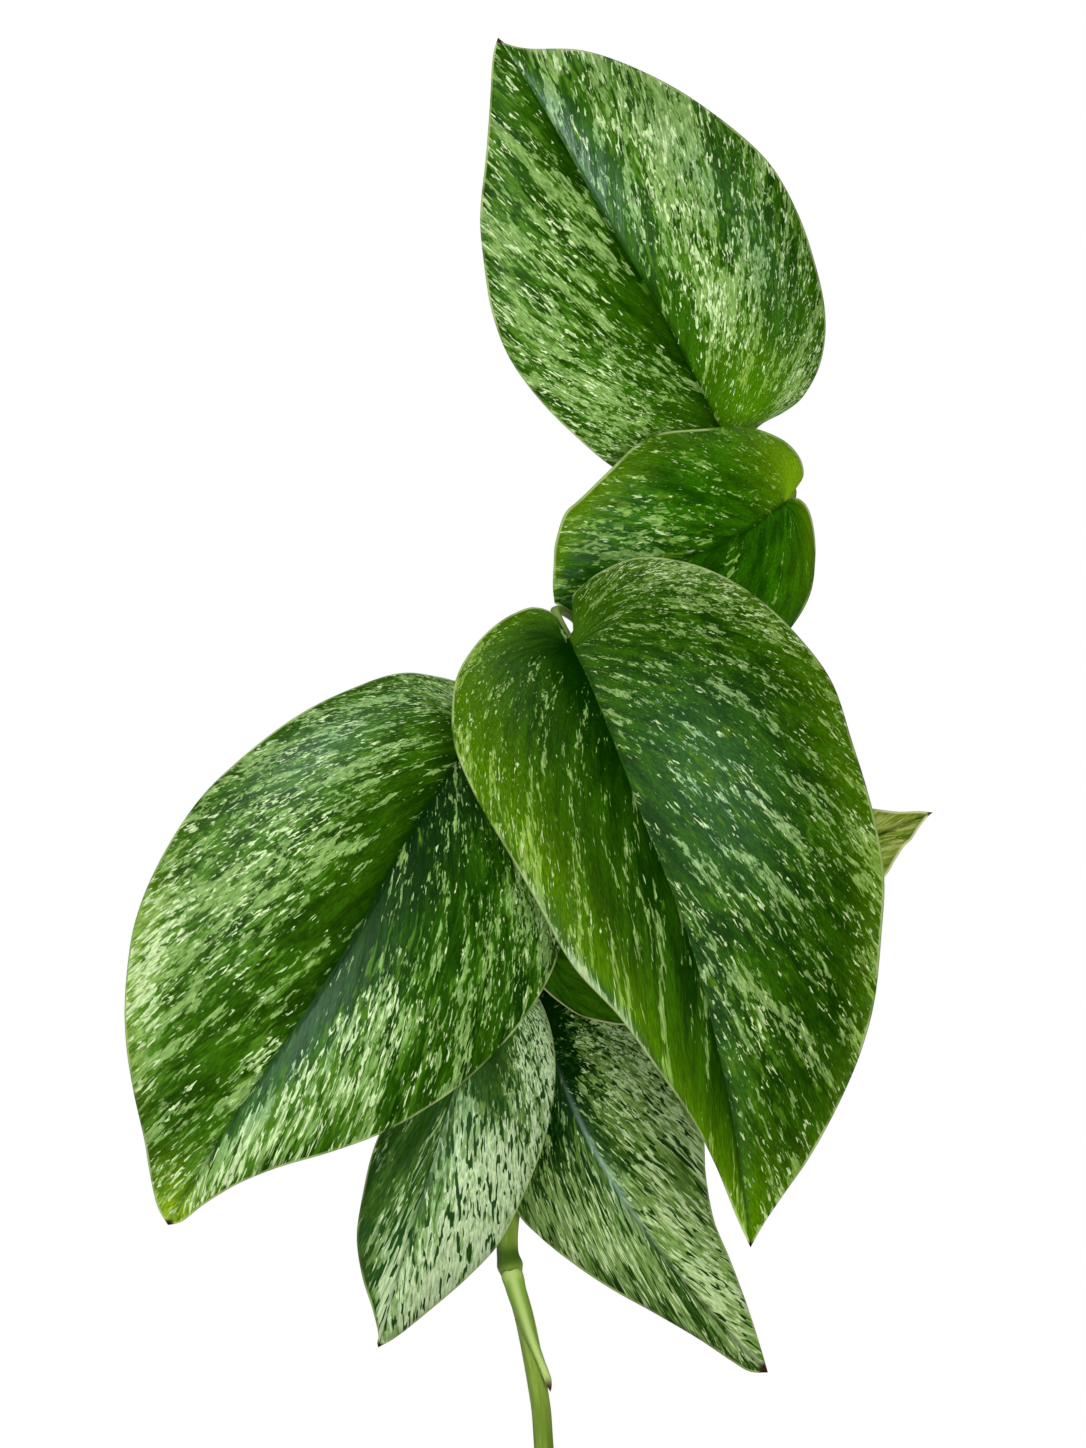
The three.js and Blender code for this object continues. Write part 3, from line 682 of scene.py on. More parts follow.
def noise_on(tree, sheet, size_mm, shift, detail, distortion):
    """Noise on the vein sheet, its blots so many millimetres across and along the veins."""
    stretched = add(tree, "Mapping", {
        "Vector": sheet, "Location": (shift, SIDE_SHIFT * shift, 0),
        "Scale": (SHEET_UNIT / size_mm[0], SHEET_UNIT / size_mm[1], 1.0)})
    return add(tree, "TexNoise", {
        "Vector": stretched, "Scale": 1.0, "Detail": detail, "Roughness": 0.6,
        "Distortion": distortion}, noise_dimensions="2D")


def vein_noise(tree, sheet, look, pattern):
    """One of the NOISES, at this leaf's own place."""
    size_mm, shift, detail, distortion = NOISES[pattern]
    return noise_on(tree, sheet, size_mm, look["seed"] + shift, detail, distortion)


def fleck_field(tree, sheet, look, pattern, density, softness):
    """1 inside one kind of the FLECKS and 0 between them."""
    shift, *terms = FLECKS[pattern]
    total = density
    for number, (size_mm, weight, detail, distortion) in enumerate(terms):
        place = look["seed"] + shift + TERM_SHIFT * number
        blots = noise_on(tree, sheet, size_mm, place, detail, distortion)
        total = add(tree, "Math", {0: blots, 1: weight, 2: total}, operation="MULTIPLY_ADD")
    cut = 0.5 + sum(weight for _, weight, _, _ in terms) / 2
    return add(tree, "MapRange", {
        "Value": total, "From Min": cut - softness, "From Max": cut + softness},
        interpolation_type="SMOOTHSTEP")


print("kinds of flecks:", *FLECKS)

# %% [markdown]
# ## The margin and the tip
# A thin line of pale tissue borders the blade. It comes and goes in long runs, and the tip has
# dried to a brown point. Both show on the upper face and on the rim, so each is one rule that
# both materials use.

# %% Pale margin and dry tip
DRY_BROWN = "#3a2415"
RUN_EDGE = 0.1
DRY_EDGE = 0.1


def margin_runs(tree, sheet, look, strongest):
    """How strongly the pale line shows at each place of the margin."""
    return add(tree, "MapRange", {
        "Value": vein_noise(tree, sheet, look, "runs"), "To Max": strongest,
        "From Min": look["margin_gaps"] - RUN_EDGE, "From Max": look["margin_gaps"] + RUN_EDGE})


def dry_tip(tree, tip, look):
    """1 on the dry tip and 0 on living tissue; tip is the distance from the tip."""
    return add(tree, "MapRange", {
        "Value": tip, "From Min": look["dry_mm"], "From Max": 0.5 * look["dry_mm"] - DRY_EDGE},
        interpolation_type="SMOOTHSTEP")


def leaf_margin(name, look):
    """The thin rim of the blade: a broken line of pale tissue that catches the light."""
    material, tree = new_material(name)
    sheet = add(tree, "UVMap", uv_map="veins")
    place = add(tree, "Attribute", attribute_name="place")
    tip = add(tree, "SeparateXYZ", {0: place.outputs["Vector"]}).outputs[2]
    rim = look["mid"]
    for share, colour in ((margin_runs(tree, sheet, look, strongest=1.0), look["margin"]),
                          (dry_tip(tree, tip, look), DRY_BROWN)):
        rim = add(tree, "Mix", {0: share, 6: rim, 7: colour}, data_type="RGBA")
    return finished(material, rim, {"Roughness": 0.5, "IOR": 1.4})


print("the tip dries to", DRY_BROWN)

# %% [markdown]
# ## The upper face
# The upper face of the leaf is living tissue under a thin waxy skin: satin, with a roughness of
# 0.3 to 0.4. Its green drifts from deep to mid in long soft clouds. It is yellower where it is
# painted lime, partly its own colour and partly a painted glow of light, and nearly black under
# painted shade. Over it lie half-pale flecks, silvery ones whose strength varies, and small cream
# ones. Where sheen is painted, a bluish-grey veil stands for the window's reflection in the wax:
# it greys the green, turns the pale flecks bluish and also raises the real shine. The green under
# painted shade stays dull. Each layer is one Mix node over the one before, as in painting with
# glazes.

# %% Material of the upper face
CREAM_COVER = 0.75
# How far painted sheen, a painted reflection of the window, greys the green towards its veil
# colour.
SHEEN_VEIL = 0.2


def satin_leaf_skin(name, look):
    """Waxy living leaf: satin green with pale flecks, which gives the eye depth and soft shine."""
    material, tree = new_material(name)
    veins = add(tree, "UVMap", uv_map="veins")
    sheet = add(tree, "VectorMath", {0: veins, "Scale": look["fineness"]}, operation="SCALE")
    tone = add(tree, "Attribute", attribute_name="tone")
    pale, lime, painted_sheen = add(tree, "SeparateXYZ", {0: tone.outputs["Vector"]}).outputs
    deep = tone.outputs["Alpha"]
    place = add(tree, "Attribute", attribute_name="place")
    margin, rib, tip = add(tree, "SeparateXYZ", {0: place.outputs["Vector"]}).outputs

    # The green under the flecks, with lime that is partly painted glow, painted shade and a veil of
    # painted sheen.
    clouds = vein_noise(tree, sheet, look, "clouds")
    depth = add(tree, "MapRange", {"Value": clouds, "From Min": 0.36, "From Max": 0.64})
    # A bluish veil of painted sheen: the window's reflection, laid into the colour.
    sheen_veil_share = add(tree, "Math", {0: painted_sheen, 1: SHEEN_VEIL}, operation="MULTIPLY", use_clamp=True)
    half = fleck_field(tree, sheet, look, "half", pale, softness=0.2)
    skin = look["deep"]
    for share, colour in ((depth, "mid"), (lime, "lime"), (deep, "painted_shade_green"), (sheen_veil_share, "sheen_veil"),
                          (half, "half")):
        skin = add(tree, "Mix", {0: share, 6: skin, 7: look[colour]}, data_type="RGBA")

    # The pale tissue is bluish where sheen is painted, a painted reflection, and yellowish where it
    # is lime.
    pallor = look["silver"]
    for share, colour in ((painted_sheen, "silver_sheen"), (lime, "silver_lime")):
        pallor = add(tree, "Mix", {0: share, 6: pallor, 7: look[colour]}, data_type="RGBA")
    strength = add(tree, "MapRange", {
        "Value": vein_noise(tree, sheet, look, "strength"), "From Min": 0.35, "From Max": 0.65,
        "To Min": 0.45, "To Max": 1.0})
    silver = fleck_field(tree, sheet, look, "silver", pale, softness=0.1)
    silver = add(tree, "Math", {0: silver, 1: strength}, operation="MULTIPLY")
    sparser = add(tree, "Math", {0: pale, 1: look["cream_gap"]}, operation="SUBTRACT")
    cream = fleck_field(tree, sheet, look, "cream", sparser, softness=0.1)
    bright = add(tree, "Mix", {0: CREAM_COVER, 6: pallor, 7: look["cream"]}, data_type="RGBA")

    # Silver and cream flecks, then the dark dashes that stayed green in the palest leaves.
    dashes = fleck_field(tree, sheet, look, "dashes", look["dashes"], softness=0.08)
    for share, colour in ((silver, pallor), (cream, bright), (dashes, look["dash"])):
        skin = add(tree, "Mix", {0: share, 6: skin, 7: colour}, data_type="RGBA")

    # Fine grain over everything.
    grain = vein_noise(tree, sheet, look, "grain")
    shade = add(tree, "MapRange", {
        "Value": grain, "From Min": 0.3, "From Max": 0.7, "To Min": 0.7, "To Max": 1.3})
    skin = add(tree, "Mix", {0: 1.0, 6: skin, 7: shade}, data_type="RGBA", blend_type="MULTIPLY")

    # Painted shade along the groove of the midrib, which turns to a painted highlight where sheen
    # is painted, then the pale margin and the dry brown tip.
    near_rib = add(tree, "MapRange", {
        "Value": rib, "From Min": 0.9, "From Max": 0.2, "To Max": look["rib_strength"]},
        interpolation_type="SMOOTHSTEP")
    groove = add(tree, "Mix", {0: painted_sheen, 6: look["rib"], 7: look["rib_highlight"]}, data_type="RGBA")
    near_margin = add(tree, "MapRange", {
        "Value": margin, "From Min": look["margin_mm"], "From Max": 0.4 * look["margin_mm"],
        "To Max": margin_runs(tree, sheet, look, strongest=0.9)},
        interpolation_type="SMOOTHSTEP")
    for share, colour in ((near_rib, groove), (near_margin, look["margin"]),
                          (dry_tip(tree, tip, look), DRY_BROWN)):
        skin = add(tree, "Mix", {0: share, 6: skin, 7: colour}, data_type="RGBA")

    # The relief of the cells and of the fine cross veins, and the shine of the wax. The shine is
    # raised where sheen is painted and dulled under painted shade.
    fibres = vein_noise(tree, sheet, look, "fibres")
    relief = add(tree, "Math", {0: fibres, 1: 2.0, 2: grain}, operation="MULTIPLY_ADD")
    gloss = add(tree, "MapRange", {
        "Value": strength, "From Min": 0.45, "From Max": 1.0, "To Min": 0.3, "To Max": 0.4})
    sheen = add(tree, "MapRange", {"Value": painted_sheen, "To Min": 0.03, "To Max": 0.35})
    dull = add(tree, "MapRange", {"Value": deep, "To Min": 1.0, "To Max": 0.25})
    sheen = add(tree, "Math", {0: sheen, 1: dull}, operation="MULTIPLY")
    finish = {"Roughness": gloss, "IOR": 1.45, "Specular IOR Level": sheen}
    return finished(material, skin, finish, relief, strength=0.5, depth_mm=0.12)


print("cream covers", CREAM_COVER, "of the silver below it")

# %% [markdown]
# ## The underside
# The lower face has no waxy skin. It is paler and matt, and the flecks show through it faintly,
# because they are in the tissue and not on it. So it reads the same noises at the same places,
# with less contrast.

# %% Material of the underside
FLECKS_THROUGH = 0.55


def matt_leaf_back(name, look):
    """The underside: paler and matter, with the flecks showing faintly through."""
    material, tree = new_material(name)
    sheet = add(tree, "UVMap", uv_map="veins")
    tone = add(tree, "Attribute", attribute_name="tone")
    pale = add(tree, "SeparateXYZ", {0: tone.outputs["Vector"]}).outputs[0]
    silver = fleck_field(tree, sheet, look, "silver", pale, softness=0.12)
    faint = add(tree, "Math", {0: silver, 1: FLECKS_THROUGH}, operation="MULTIPLY")
    skin = look["back_deep"]
    for share, colour in ((vein_noise(tree, sheet, look, "clouds"), "back_mid"),
                          (faint, "back_pale")):
        skin = add(tree, "Mix", {0: share, 6: skin, 7: look[colour]}, data_type="RGBA")
    fibres = vein_noise(tree, sheet, look, "fibres")
    return finished(material, skin, {"Roughness": 0.6, "IOR": 1.4}, fibres,
                    strength=0.6, depth_mm=0.2)


print("flecks show through at", FLECKS_THROUGH)

# %% [markdown]
# ## Dressing the blades
# Leaves of one plant differ in their greens and in how pale they are: the young leaf is fresh and
# yellowish, the front one dark, and the two lowest are mostly silver with green dashes. LOOK_BASE
# holds what they share, and each leaf's own list changes only what differs. Its seed moves it to a
# place of its own in the noise.

# %% The seven blades
# Some of these colours are painted light. The bluish veil and the bluish silver are a painted
# reflection, and the near-black green is painted shade. The two groove colours are painted shade
# and a painted highlight, and lime is partly a painted glow.
LOOK_BASE = {
    "deep": "#143a00", "mid": "#2f5f04", "painted_shade_green": "#042600", "lime": "#5f9000",
    "half": "#4b7b1c", "silver": "#90b868", "silver_sheen": "#9cc694", "silver_lime": "#9cc43c",
    "cream": "#d6eeb8", "sheen_veil": "#52885a", "margin": "#b8d484", "dash": "#1a3a0e",
    "rib": "#0a3400", "rib_highlight": "#3f6e4a", "rib_strength": 0.35, "margin_mm": 0.5,
    "margin_gaps": 0.47, "dry_mm": 1.3, "fineness": 1.0, "dashes": -1.5, "cream_gap": 0.26,
    "back_deep": "#4f7f36", "back_mid": "#7ba357", "back_pale": "#b9cf9f",
}
LOOKS = {
    "leaf_top": {
        "seed": 1.0, "slot": "leaf_flecked", "fineness": 1.15, "lime": "#4e8400",
        "silver_lime": "#90b838"},
    "leaf_young": {
        "seed": 14.0, "slot": "leaf_fresh", "fineness": 1.25, "deep": "#184600",
        "mid": "#2f6a00", "lime": "#7ca810", "half": "#4f7c15", "silver": "#86b052",
        "cream": "#cce4ae", "dry_mm": 0.1, "margin_mm": 0.7},
    "leaf_front": {
        "seed": 27.0, "slot": "leaf_dark", "fineness": 1.15, "deep": "#133600",
        "mid": "#2c5801", "half": "#436e10", "silver": "#88aa60", "cream": "#cadea6",
        "margin_mm": 0.6},
    "leaf_left": {
        "seed": 40.0, "slot": "leaf_flecked", "lime": "#8fb010"},
    "leaf_hanging": {
        "seed": 53.0, "slot": "leaf_silvered", "fineness": 0.9, "deep": "#264a10",
        "mid": "#466c28", "half": "#688c48", "silver": "#94b67c", "cream": "#cfe6ba",
        "rib_strength": 0.2, "rib_highlight": "#98bcae", "dashes": 0.24, "dash": "#264c1e"},
    "leaf_low": {
        "seed": 66.0, "slot": "leaf_silvered", "deep": "#22460c", "mid": "#3e6422",
        "half": "#5a7e34", "silver": "#84a65e", "cream": "#c6dea8", "rib_strength": 0.6,
        "rib_highlight": "#98bcae", "dashes": 0.12, "dash": "#1c3e10", "dry_mm": 2.2},
    "leaf_back": {
        "seed": 79.0, "slot": "leaf_dark", "deep": "#225000", "mid": "#407408",
        "lime": "#7a8c20", "half": "#84953f", "silver": "#8ca43e", "silver_lime": "#90a238",
        "cream": "#b4c46c", "margin": "#e6ecb0", "margin_mm": 0.6, "margin_gaps": 0.3},
}
for name, blade in blades.items():
    look = {**LOOK_BASE, **LOOKS[name]}
    piece = blade_object(
        "blade_" + name, blade, PAINT[name], BLADE_RELIEF, BLADE_GRID, BLADE_THICKNESS,
        satin_leaf_skin("satin_skin_" + name, look), matt_leaf_back("matt_underside_" + name, look),
        leaf_margin("pale_margin_" + name, look))
    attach(piece, "root")
    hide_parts(name)
    print(piece.name, len(piece.data.polygons), "faces")

# %% [markdown]
# ## Tubes
# Stem and stalks are round and grow along a bent path. A curve with a bevel would give an even
# pipe, but a living stem swells and tapers. So a grid is wrapped round a smooth path: the rows
# follow the path, the columns go round it, and one small rule gives the radius at each place and
# another the tone.

# %% Tubes along a path
def frames_along(line, steps):
    """Centres on the line, and the two directions across it, turned as little as possible."""
    centres = along_line(line, np.linspace(0, 1, steps + 1))
    tangents = np.gradient(centres, axis=0)
    tangents /= np.linalg.norm(tangents, axis=1)[:, None]
    front = np.array([0.0, -1.0, 0.0])
    fronts = []
    for tangent in tangents:
        front = front - tangent * np.dot(front, tangent)
        front /= np.linalg.norm(front)
        fronts.append(front)
    fronts = np.array(fronts)
    return centres, fronts, np.cross(tangents, fronts)


def tube(name, path, radius_rule, tone_rule, grid_size, material):
    """A closed tube round a path, in millimetres; the rules take the share and the length run."""
    sides, steps = grid_size
    line = smooth_line(path)
    shares = np.linspace(0, 1, steps + 1)
    centres, fronts, sideways = frames_along(line, steps)
    angles = 2 * math.pi * np.arange(sides + 1) / sides
    radii = np.array([[radius_rule(s, s * line[2], a) for a in angles] for s in shares])
    radii[0] = radii[-1] = 0
    tones = [tone_rule(s, s * line[2]) for s in shares]
    bm = bmesh.new()
    bmesh.ops.create_grid(bm, x_segments=sides, y_segments=steps, size=1.0)
    bm.verts.index_update()
    grid = np.array([v.co[:2] for v in bm.verts])
    turn = np.round((grid[:, 0] + 1) / 2 * sides).astype(int)
    step = np.round((grid[:, 1] + 1) / 2 * steps).astype(int)
    run_layer = bm.loops.layers.uv.new("run")
    tone_layer = bm.verts.layers.float_color.new("tone")
    for face in bm.faces:
        for loop in face.loops:
            k = loop.vert.index
            loop[run_layer].uv = (turn[k] / sides, shares[step[k]] * line[2] / SHEET_UNIT)
    for v in bm.verts:
        i, j = step[v.index], turn[v.index]
        around = fronts[i] * math.cos(angles[j]) + sideways[i] * math.sin(angles[j])
        v.co = (centres[i] + around * radii[i][j]) * MM
        v[tone_layer] = (*tones[i], 0, 1)
    bmesh.ops.remove_doubles(bm, verts=bm.verts, dist=1e-6)
    bmesh.ops.recalc_face_normals(bm, faces=bm.faces)
    piece = object_from(bm, name, material)
    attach(piece, "root")
    return piece


def hump(place, middle, reach):
    """1 at the middle, fading out within about twice the reach on both sides."""
    return math.exp(-((place - middle) / reach) ** 2)


print("a hump is", round(hump(1, 0, 1), 2), "high at its reach")

# %% [markdown]
# ## Stem skin
# A young vine has a smooth green bark: satin, streaked along its length, darker above each node
# and paler below the lowest. The streaks and the fine fibres are noise on the tube's own UV map,
# stretched along it, so that they follow every bend.

# %% Material of stem and stalks
STREAK_RUN_MM = 20.0
STREAKS_AROUND = 5.0
FIBRE_RUN_MM = 5.0
FIBRES_AROUND = 24.0


def smooth_stem_skin():
    """Smooth green bark of a young vine: satin, with pale streaks along it and dark nodes."""
    material, tree = new_material("smooth_stem_skin")
    sheet = add(tree, "UVMap", uv_map="run")
    tone = add(tree, "Attribute", attribute_name="tone")
    dark, pale, _ = add(tree, "SeparateXYZ", {0: tone.outputs["Vector"]}).outputs
    drawn_out = add(tree, "Mapping", {
        "Vector": sheet, "Scale": (STREAKS_AROUND, SHEET_UNIT / STREAK_RUN_MM, 1.0)})
    streaks = add(tree, "TexNoise", {
        "Vector": drawn_out, "Scale": 1.0, "Detail": 3.0}, noise_dimensions="2D")
    streaky = add(tree, "MapRange", {"Value": streaks, "From Min": 0.35, "From Max": 0.65})
    skin = "#76982f"
    for share, colour in ((streaky, "#a2c054"), (pale, "#a4c85a"), (dark, "#47681c")):
        skin = add(tree, "Mix", {0: share, 6: skin, 7: colour}, data_type="RGBA")
    fine = add(tree, "Mapping", {
        "Vector": sheet, "Scale": (FIBRES_AROUND, SHEET_UNIT / FIBRE_RUN_MM, 1.0)})
    fibres = add(tree, "TexNoise", {
        "Vector": fine, "Scale": 1.0, "Detail": 2.0}, noise_dimensions="2D")
    finish = {"Roughness": 0.4, "IOR": 1.45, "Specular IOR Level": 0.25}
    return finished(material, skin, finish, fibres, strength=0.5, depth_mm=0.2)


stem_skin = smooth_stem_skin()
print("material", stem_skin.name)

# %% [markdown]
# ## The stem
# The vine climbs from the soil in a soft bend and thickens at each node, where a leaf joins it or
# has dropped. Its path is a list of points in millimetres, and the nodes are given by their
# height. Each node is two humps on the radius: a short swelling, and a longer one above it.

# %% Stem
STEM_FOOT = 50
STEM_RUN = [
    [0, 0, STEM_FOOT], [0, 0, 75], [0, 0, 98], [-1, 0, 118], [-1.8, 0, 126], [-4.5, 0, 140.5],
    [-7.4, 0, 151], [-8.1, 0.5, 157], [-6.6, 2, 168], [-4.6, 3, 182], [-3.6, 3, 198],
    [-3.2, 3, 214], [-4.6, 3, 232], [-4, 3, 246], [0, 3, 258], [8, 3, 268], [20, 3, 280],
    [31, 3, 292], [39, 2, 301]]
NODE_HEIGHTS = [151.8, 190, 203, 216, 239, 255, 294]
STEM_GRID = (20, 420)
STEM_RADIUS = 2.05
STEM_TAPER = 0.35
FACETS = 5
FACET_DEPTH = 0.025
# Each hump by its height, its place above the node and its reach.
NODE_SWELL = (0.55, 0.0, 1.5)
LONG_SWELL = (0.25, 3.0, 4.0)
DARK_BAND = (1.0, 1.8, 2.2)
DARK_FADE = (0.4, 9.0, 6.0)
PALE_BELOW = (1.0, -8.0, 7.0)
PALEST = 0.5

stem_line = smooth_line(STEM_RUN)
stem_steps = [int(np.argmax(stem_line[1][:, 2] > height)) for height in NODE_HEIGHTS]
NODE_RUNS = [float(stem_line[0][step] * stem_line[2]) for step in stem_steps]


def at_nodes(run, kind, nodes=NODE_RUNS):
    """The sum of one kind of hump over the nodes, at a length run along the stem."""
    height, place, reach = kind
    return height * sum(hump(run - node, place, reach) for node in nodes)


def stem_radius(share, run, angle):
    """A slightly tapering vine that swells at each node and is faintly grooved."""
    swollen = at_nodes(run, NODE_SWELL) + at_nodes(run, LONG_SWELL)
    facets = 1 + FACET_DEPTH * math.cos(FACETS * angle)
    return (STEM_RADIUS - STEM_TAPER * share + swollen) * facets


def stem_tone(share, run):
    """Dark green above each node, pale below the lowest."""
    dark = at_nodes(run, DARK_BAND) + at_nodes(run, DARK_FADE)
    return min(1, dark), min(PALEST, at_nodes(run, PALE_BELOW, NODE_RUNS[:1]))


stem = tube("vine_stem", STEM_RUN, stem_radius, stem_tone, STEM_GRID, stem_skin)
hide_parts("stem")
print("stem nodes at", [round(run) for run in NODE_RUNS], "mm along it")

# %% [markdown]
# ## The stalks
# Each leaf stands on a stalk of its own: wide at the foot, faintly channelled in front, with a
# knee below the blade that turns it to the light. The last stretch of the tube runs on behind its
# blade and thins out. That ridge is the midrib as it shows on the underside. The front leaf's
# stalk is the slimmest, so that the small gap at the notch of that leaf stays open.

# %% Path and thickness of a stalk
STALKS = {
    "leaf_top": [[32, 3, 293], [34, 4, 302], [35.5, 2, 310]],
    "leaf_young": [[38, 2, 300], [44, -3, 305], [47.5, -12, 307]],
    "leaf_front": [[-1.5, 3, 254], [3, -10, 262], [8, -27, 274.5], [6.2, -36, 279.4],
                   [3.2, -42, 281.9], [1.4, -46.3, 282.0], [1.9, -49, 280.3]],
    "leaf_left": [[-4.4, 3, 238], [-6, -6, 248], [-9, -18, 259], [-11.2, -25, 263]],
    "leaf_hanging": [[-3.4, 3, 203], [-5, -4, 209], [-8, -11, 211.5]],
    "leaf_low": [[-4, 3, 190], [-4, -1, 197], [-2, -3.5, 201]],
    "leaf_back": [[-3.2, 3, 212], [-5, -3, 216], [-4, -8, 218]],
}
STALK_GRID = (14, 120)
STALK_RADIUS = 1.25
STALK_SLIMNESS = {"leaf_front": 0.68}
# Each swelling by its height, its place along the free stalk and its reach.
FOOT_SWELL = (0.5, 0.0, 0.16)
KNEE_SWELL = (0.22, 0.88, 0.1)
CHANNEL_DEPTH = 0.14
CHANNEL_SHARPNESS = 6
RIB_RADIUS = 1.0
RIB_END_RADIUS = 0.28
RIB_THINNING = 1.3
RIB_REACHES = (0.03, 0.08, 0.16, 0.28, 0.42, 0.56, 0.7, 0.82)
RIB_SETBACK = 1.1
RIB_EXTRA = 1.2
JOINT_EXTRA = 2.6
STALK_DARK = 0.45
RIB_DARK = 0.1
STALK_PALE = 0.3
PALE_START = 0.2


def stalk_path(name):
    """From the stem to the notch from behind, then along the back of the midrib."""
    blade = blades[name]
    ribs = [blade.rib_point(reach, RIB_SETBACK + RIB_EXTRA * (1 - reach)) for reach in RIB_REACHES]
    return [*STALKS[name], blade.rib_point(0.0, RIB_SETBACK + JOINT_EXTRA), *ribs]


def stalk_rules(free, slimness):
    """The radius and tone rules of a stalk whose first share, free, runs free of its blade."""
    def radius(share, run, angle):
        if share < free:
            swollen = sum(height * hump(share / free, place, reach)
                          for height, place, reach in (FOOT_SWELL, KNEE_SWELL))
            channel = 1 - CHANNEL_DEPTH * max(0, math.cos(angle)) ** CHANNEL_SHARPNESS
            return (STALK_RADIUS + swollen) * channel * slimness
        left = (1 - share) / (1 - free)
        return RIB_END_RADIUS + RIB_RADIUS * slimness * left ** RIB_THINNING

    def tone(share, run):
        pale = STALK_PALE * min(1, max(0, share / free - PALE_START))
        return STALK_DARK if share < free else RIB_DARK, pale

    return radius, tone


print("a stalk is", 2 * STALK_RADIUS, "mm thick")

# %% Seven leaf stalks
for name, points in STALKS.items():
    path = stalk_path(name)
    whole = smooth_line(path)[2]
    free = smooth_line(path[:len(points) + 1])[2] / whole
    rules = stalk_rules(free, STALK_SLIMNESS.get(name, 1.0))
    piece = tube("stalk_" + name, path, *rules, STALK_GRID, stem_skin)
    print(piece.name, round(whole), "mm with its midrib")

# %% [markdown]
# ## The sheath
# Where a leaf has dropped, its papery sheath still lies on the front of the stem below the lowest
# node, with a dry brown tip. It is a small blade too, so the same grid makes it, without the
# groove and the ridges. Its fine lines are a sine of the distance from its middle, 0.45 mm apart,
# and a painted highlight pales its middle, where the curved sheath faces the light.

# %% Sheath
SHEATH_SHAPE = {
    "notch": [-7.5, 150.8], "tip": [0.5, 126.6],
    "midrib": [[8, 0.2], [15, 0.3], [20, -0.1]],
    "right": [[-0.4, 1.2], [0.5, 2.1], [2.7, 2.1], [5.5, 2.1], [9.6, 1.9], [13, 1.6],
              [16.6, 1.1], [19.6, 0.7], [22.5, 0.5], [24.2, 0.3]],
    "left": [[-0.2, -1.2], [0.6, -2.1], [1.9, -2.2], [4, -1.9], [6.7, -1.6], [9.5, -1.4],
             [12.8, -1], [16.1, -0.9], [18.9, -0.9], [21.3, -1], [23, -1], [24.5, -0.6]],
    "depth": -3.7, "peak": 0.5, "arch": 0.3, "turn": 0, "fall": [0, 0],
    "camber": 0, "roll": 0.35, "wave": 0, "waves": 1, "phase": 0}
SHEATH_GRID = (60, 10)
SHEATH_THICKNESS = 0.5
LINE_TURNS = 14.0


def papery_sheath():
    """Thin dry sheath: pale green with fine lines, a painted middle highlight and a brown tip."""
    material, tree = new_material("papery_sheath")
    place = add(tree, "Attribute", attribute_name="place")
    _, rib, tip = add(tree, "SeparateXYZ", {0: place.outputs["Vector"]}).outputs
    # A painted highlight: the sheath pales within 2.8 mm of its middle line.
    shine = add(tree, "MapRange", {
        "Value": rib, "From Min": 2.8, "From Max": 0.3}, interpolation_type="SMOOTHSTEP")
    lines = add(tree, "Math", {0: rib, 1: LINE_TURNS}, operation="MULTIPLY")
    waves = add(tree, "Math", {0: lines}, operation="SINE")
    lined = add(tree, "Math", {0: waves, 1: 0.12, 2: shine}, operation="MULTIPLY_ADD")
    dry = add(tree, "MapRange", {
        "Value": tip, "From Min": 3.0, "From Max": 0.8}, interpolation_type="SMOOTHSTEP")
    skin = "#8ab440"
    for share, colour in ((lined, "#c8e48a"), (dry, "#4a2e1a")):
        skin = add(tree, "Mix", {0: share, 6: skin, 7: colour}, data_type="RGBA")
    return finished(material, skin, {"Roughness": 0.45, "IOR": 1.45, "Specular IOR Level": 0.25})


sheath = blade_object(
    "dry_sheath", Blade(SHEATH_SHAPE), {}, FLAT_RELIEF, SHEATH_GRID, SHEATH_THICKNESS,
    papery_sheath())
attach(sheath, "root")
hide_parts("sheath")
print("sheath", len(sheath.data.polygons), "faces")

# %% [markdown]
# ## The pot
# A common clay pot is thrown or pressed on a turning mould: a tapered body with a thick rim band.
# It is a turned shape, so its profile is spun once round the axis. The profile's corners are
# rounded by a bevel before the spin, as a wet sponge rounds them.

# %% Pot
FOOT_RADIUS = 42.5
SHOULDER_RADIUS = 55.5
RIM_RADIUS = 60
MOUTH_RADIUS = 54.5
WELL_RADIUS = 37.5
POT_HEIGHT = 105
RIM_FOOT = 85
FLOOR_THICKNESS = 6
POT_ROUNDING = 1.5
SPIN_STEPS = 144
POT_PROFILE = [
    (0, 0), (FOOT_RADIUS, 0), (SHOULDER_RADIUS, RIM_FOOT), (RIM_RADIUS, RIM_FOOT),
    (RIM_RADIUS, POT_HEIGHT), (MOUTH_RADIUS, POT_HEIGHT), (WELL_RADIUS, FLOOR_THICKNESS),
    (0, FLOOR_THICKNESS)]


def spun(profile, rounding=0):
    """Spins a profile of (radius, height) in millimetres round the upright axis."""
    bm = bmesh.new()
    corners = [bm.verts.new((radius * MM, 0, height * MM)) for radius, height in profile]
    for pair in zip(corners, corners[1:]):
        bm.edges.new(pair)
    if rounding:
        bmesh.ops.bevel(bm, geom=corners[1:-1], offset=rounding * MM, offset_type="OFFSET",
                        segments=4, profile=0.5, affect="VERTICES", material=-1)
    bmesh.ops.spin(bm, geom=bm.verts[:] + bm.edges[:], cent=(0, 0, 0), axis=(0, 0, 1),
                   angle=2 * math.pi, steps=SPIN_STEPS, use_merge=True)
    bmesh.ops.remove_doubles(bm, verts=bm.verts, dist=1e-6)
    bmesh.ops.recalc_face_normals(bm, faces=bm.faces)
    return bm


print("the pot is", 2 * RIM_RADIUS, "mm across and", POT_HEIGHT, "mm high")

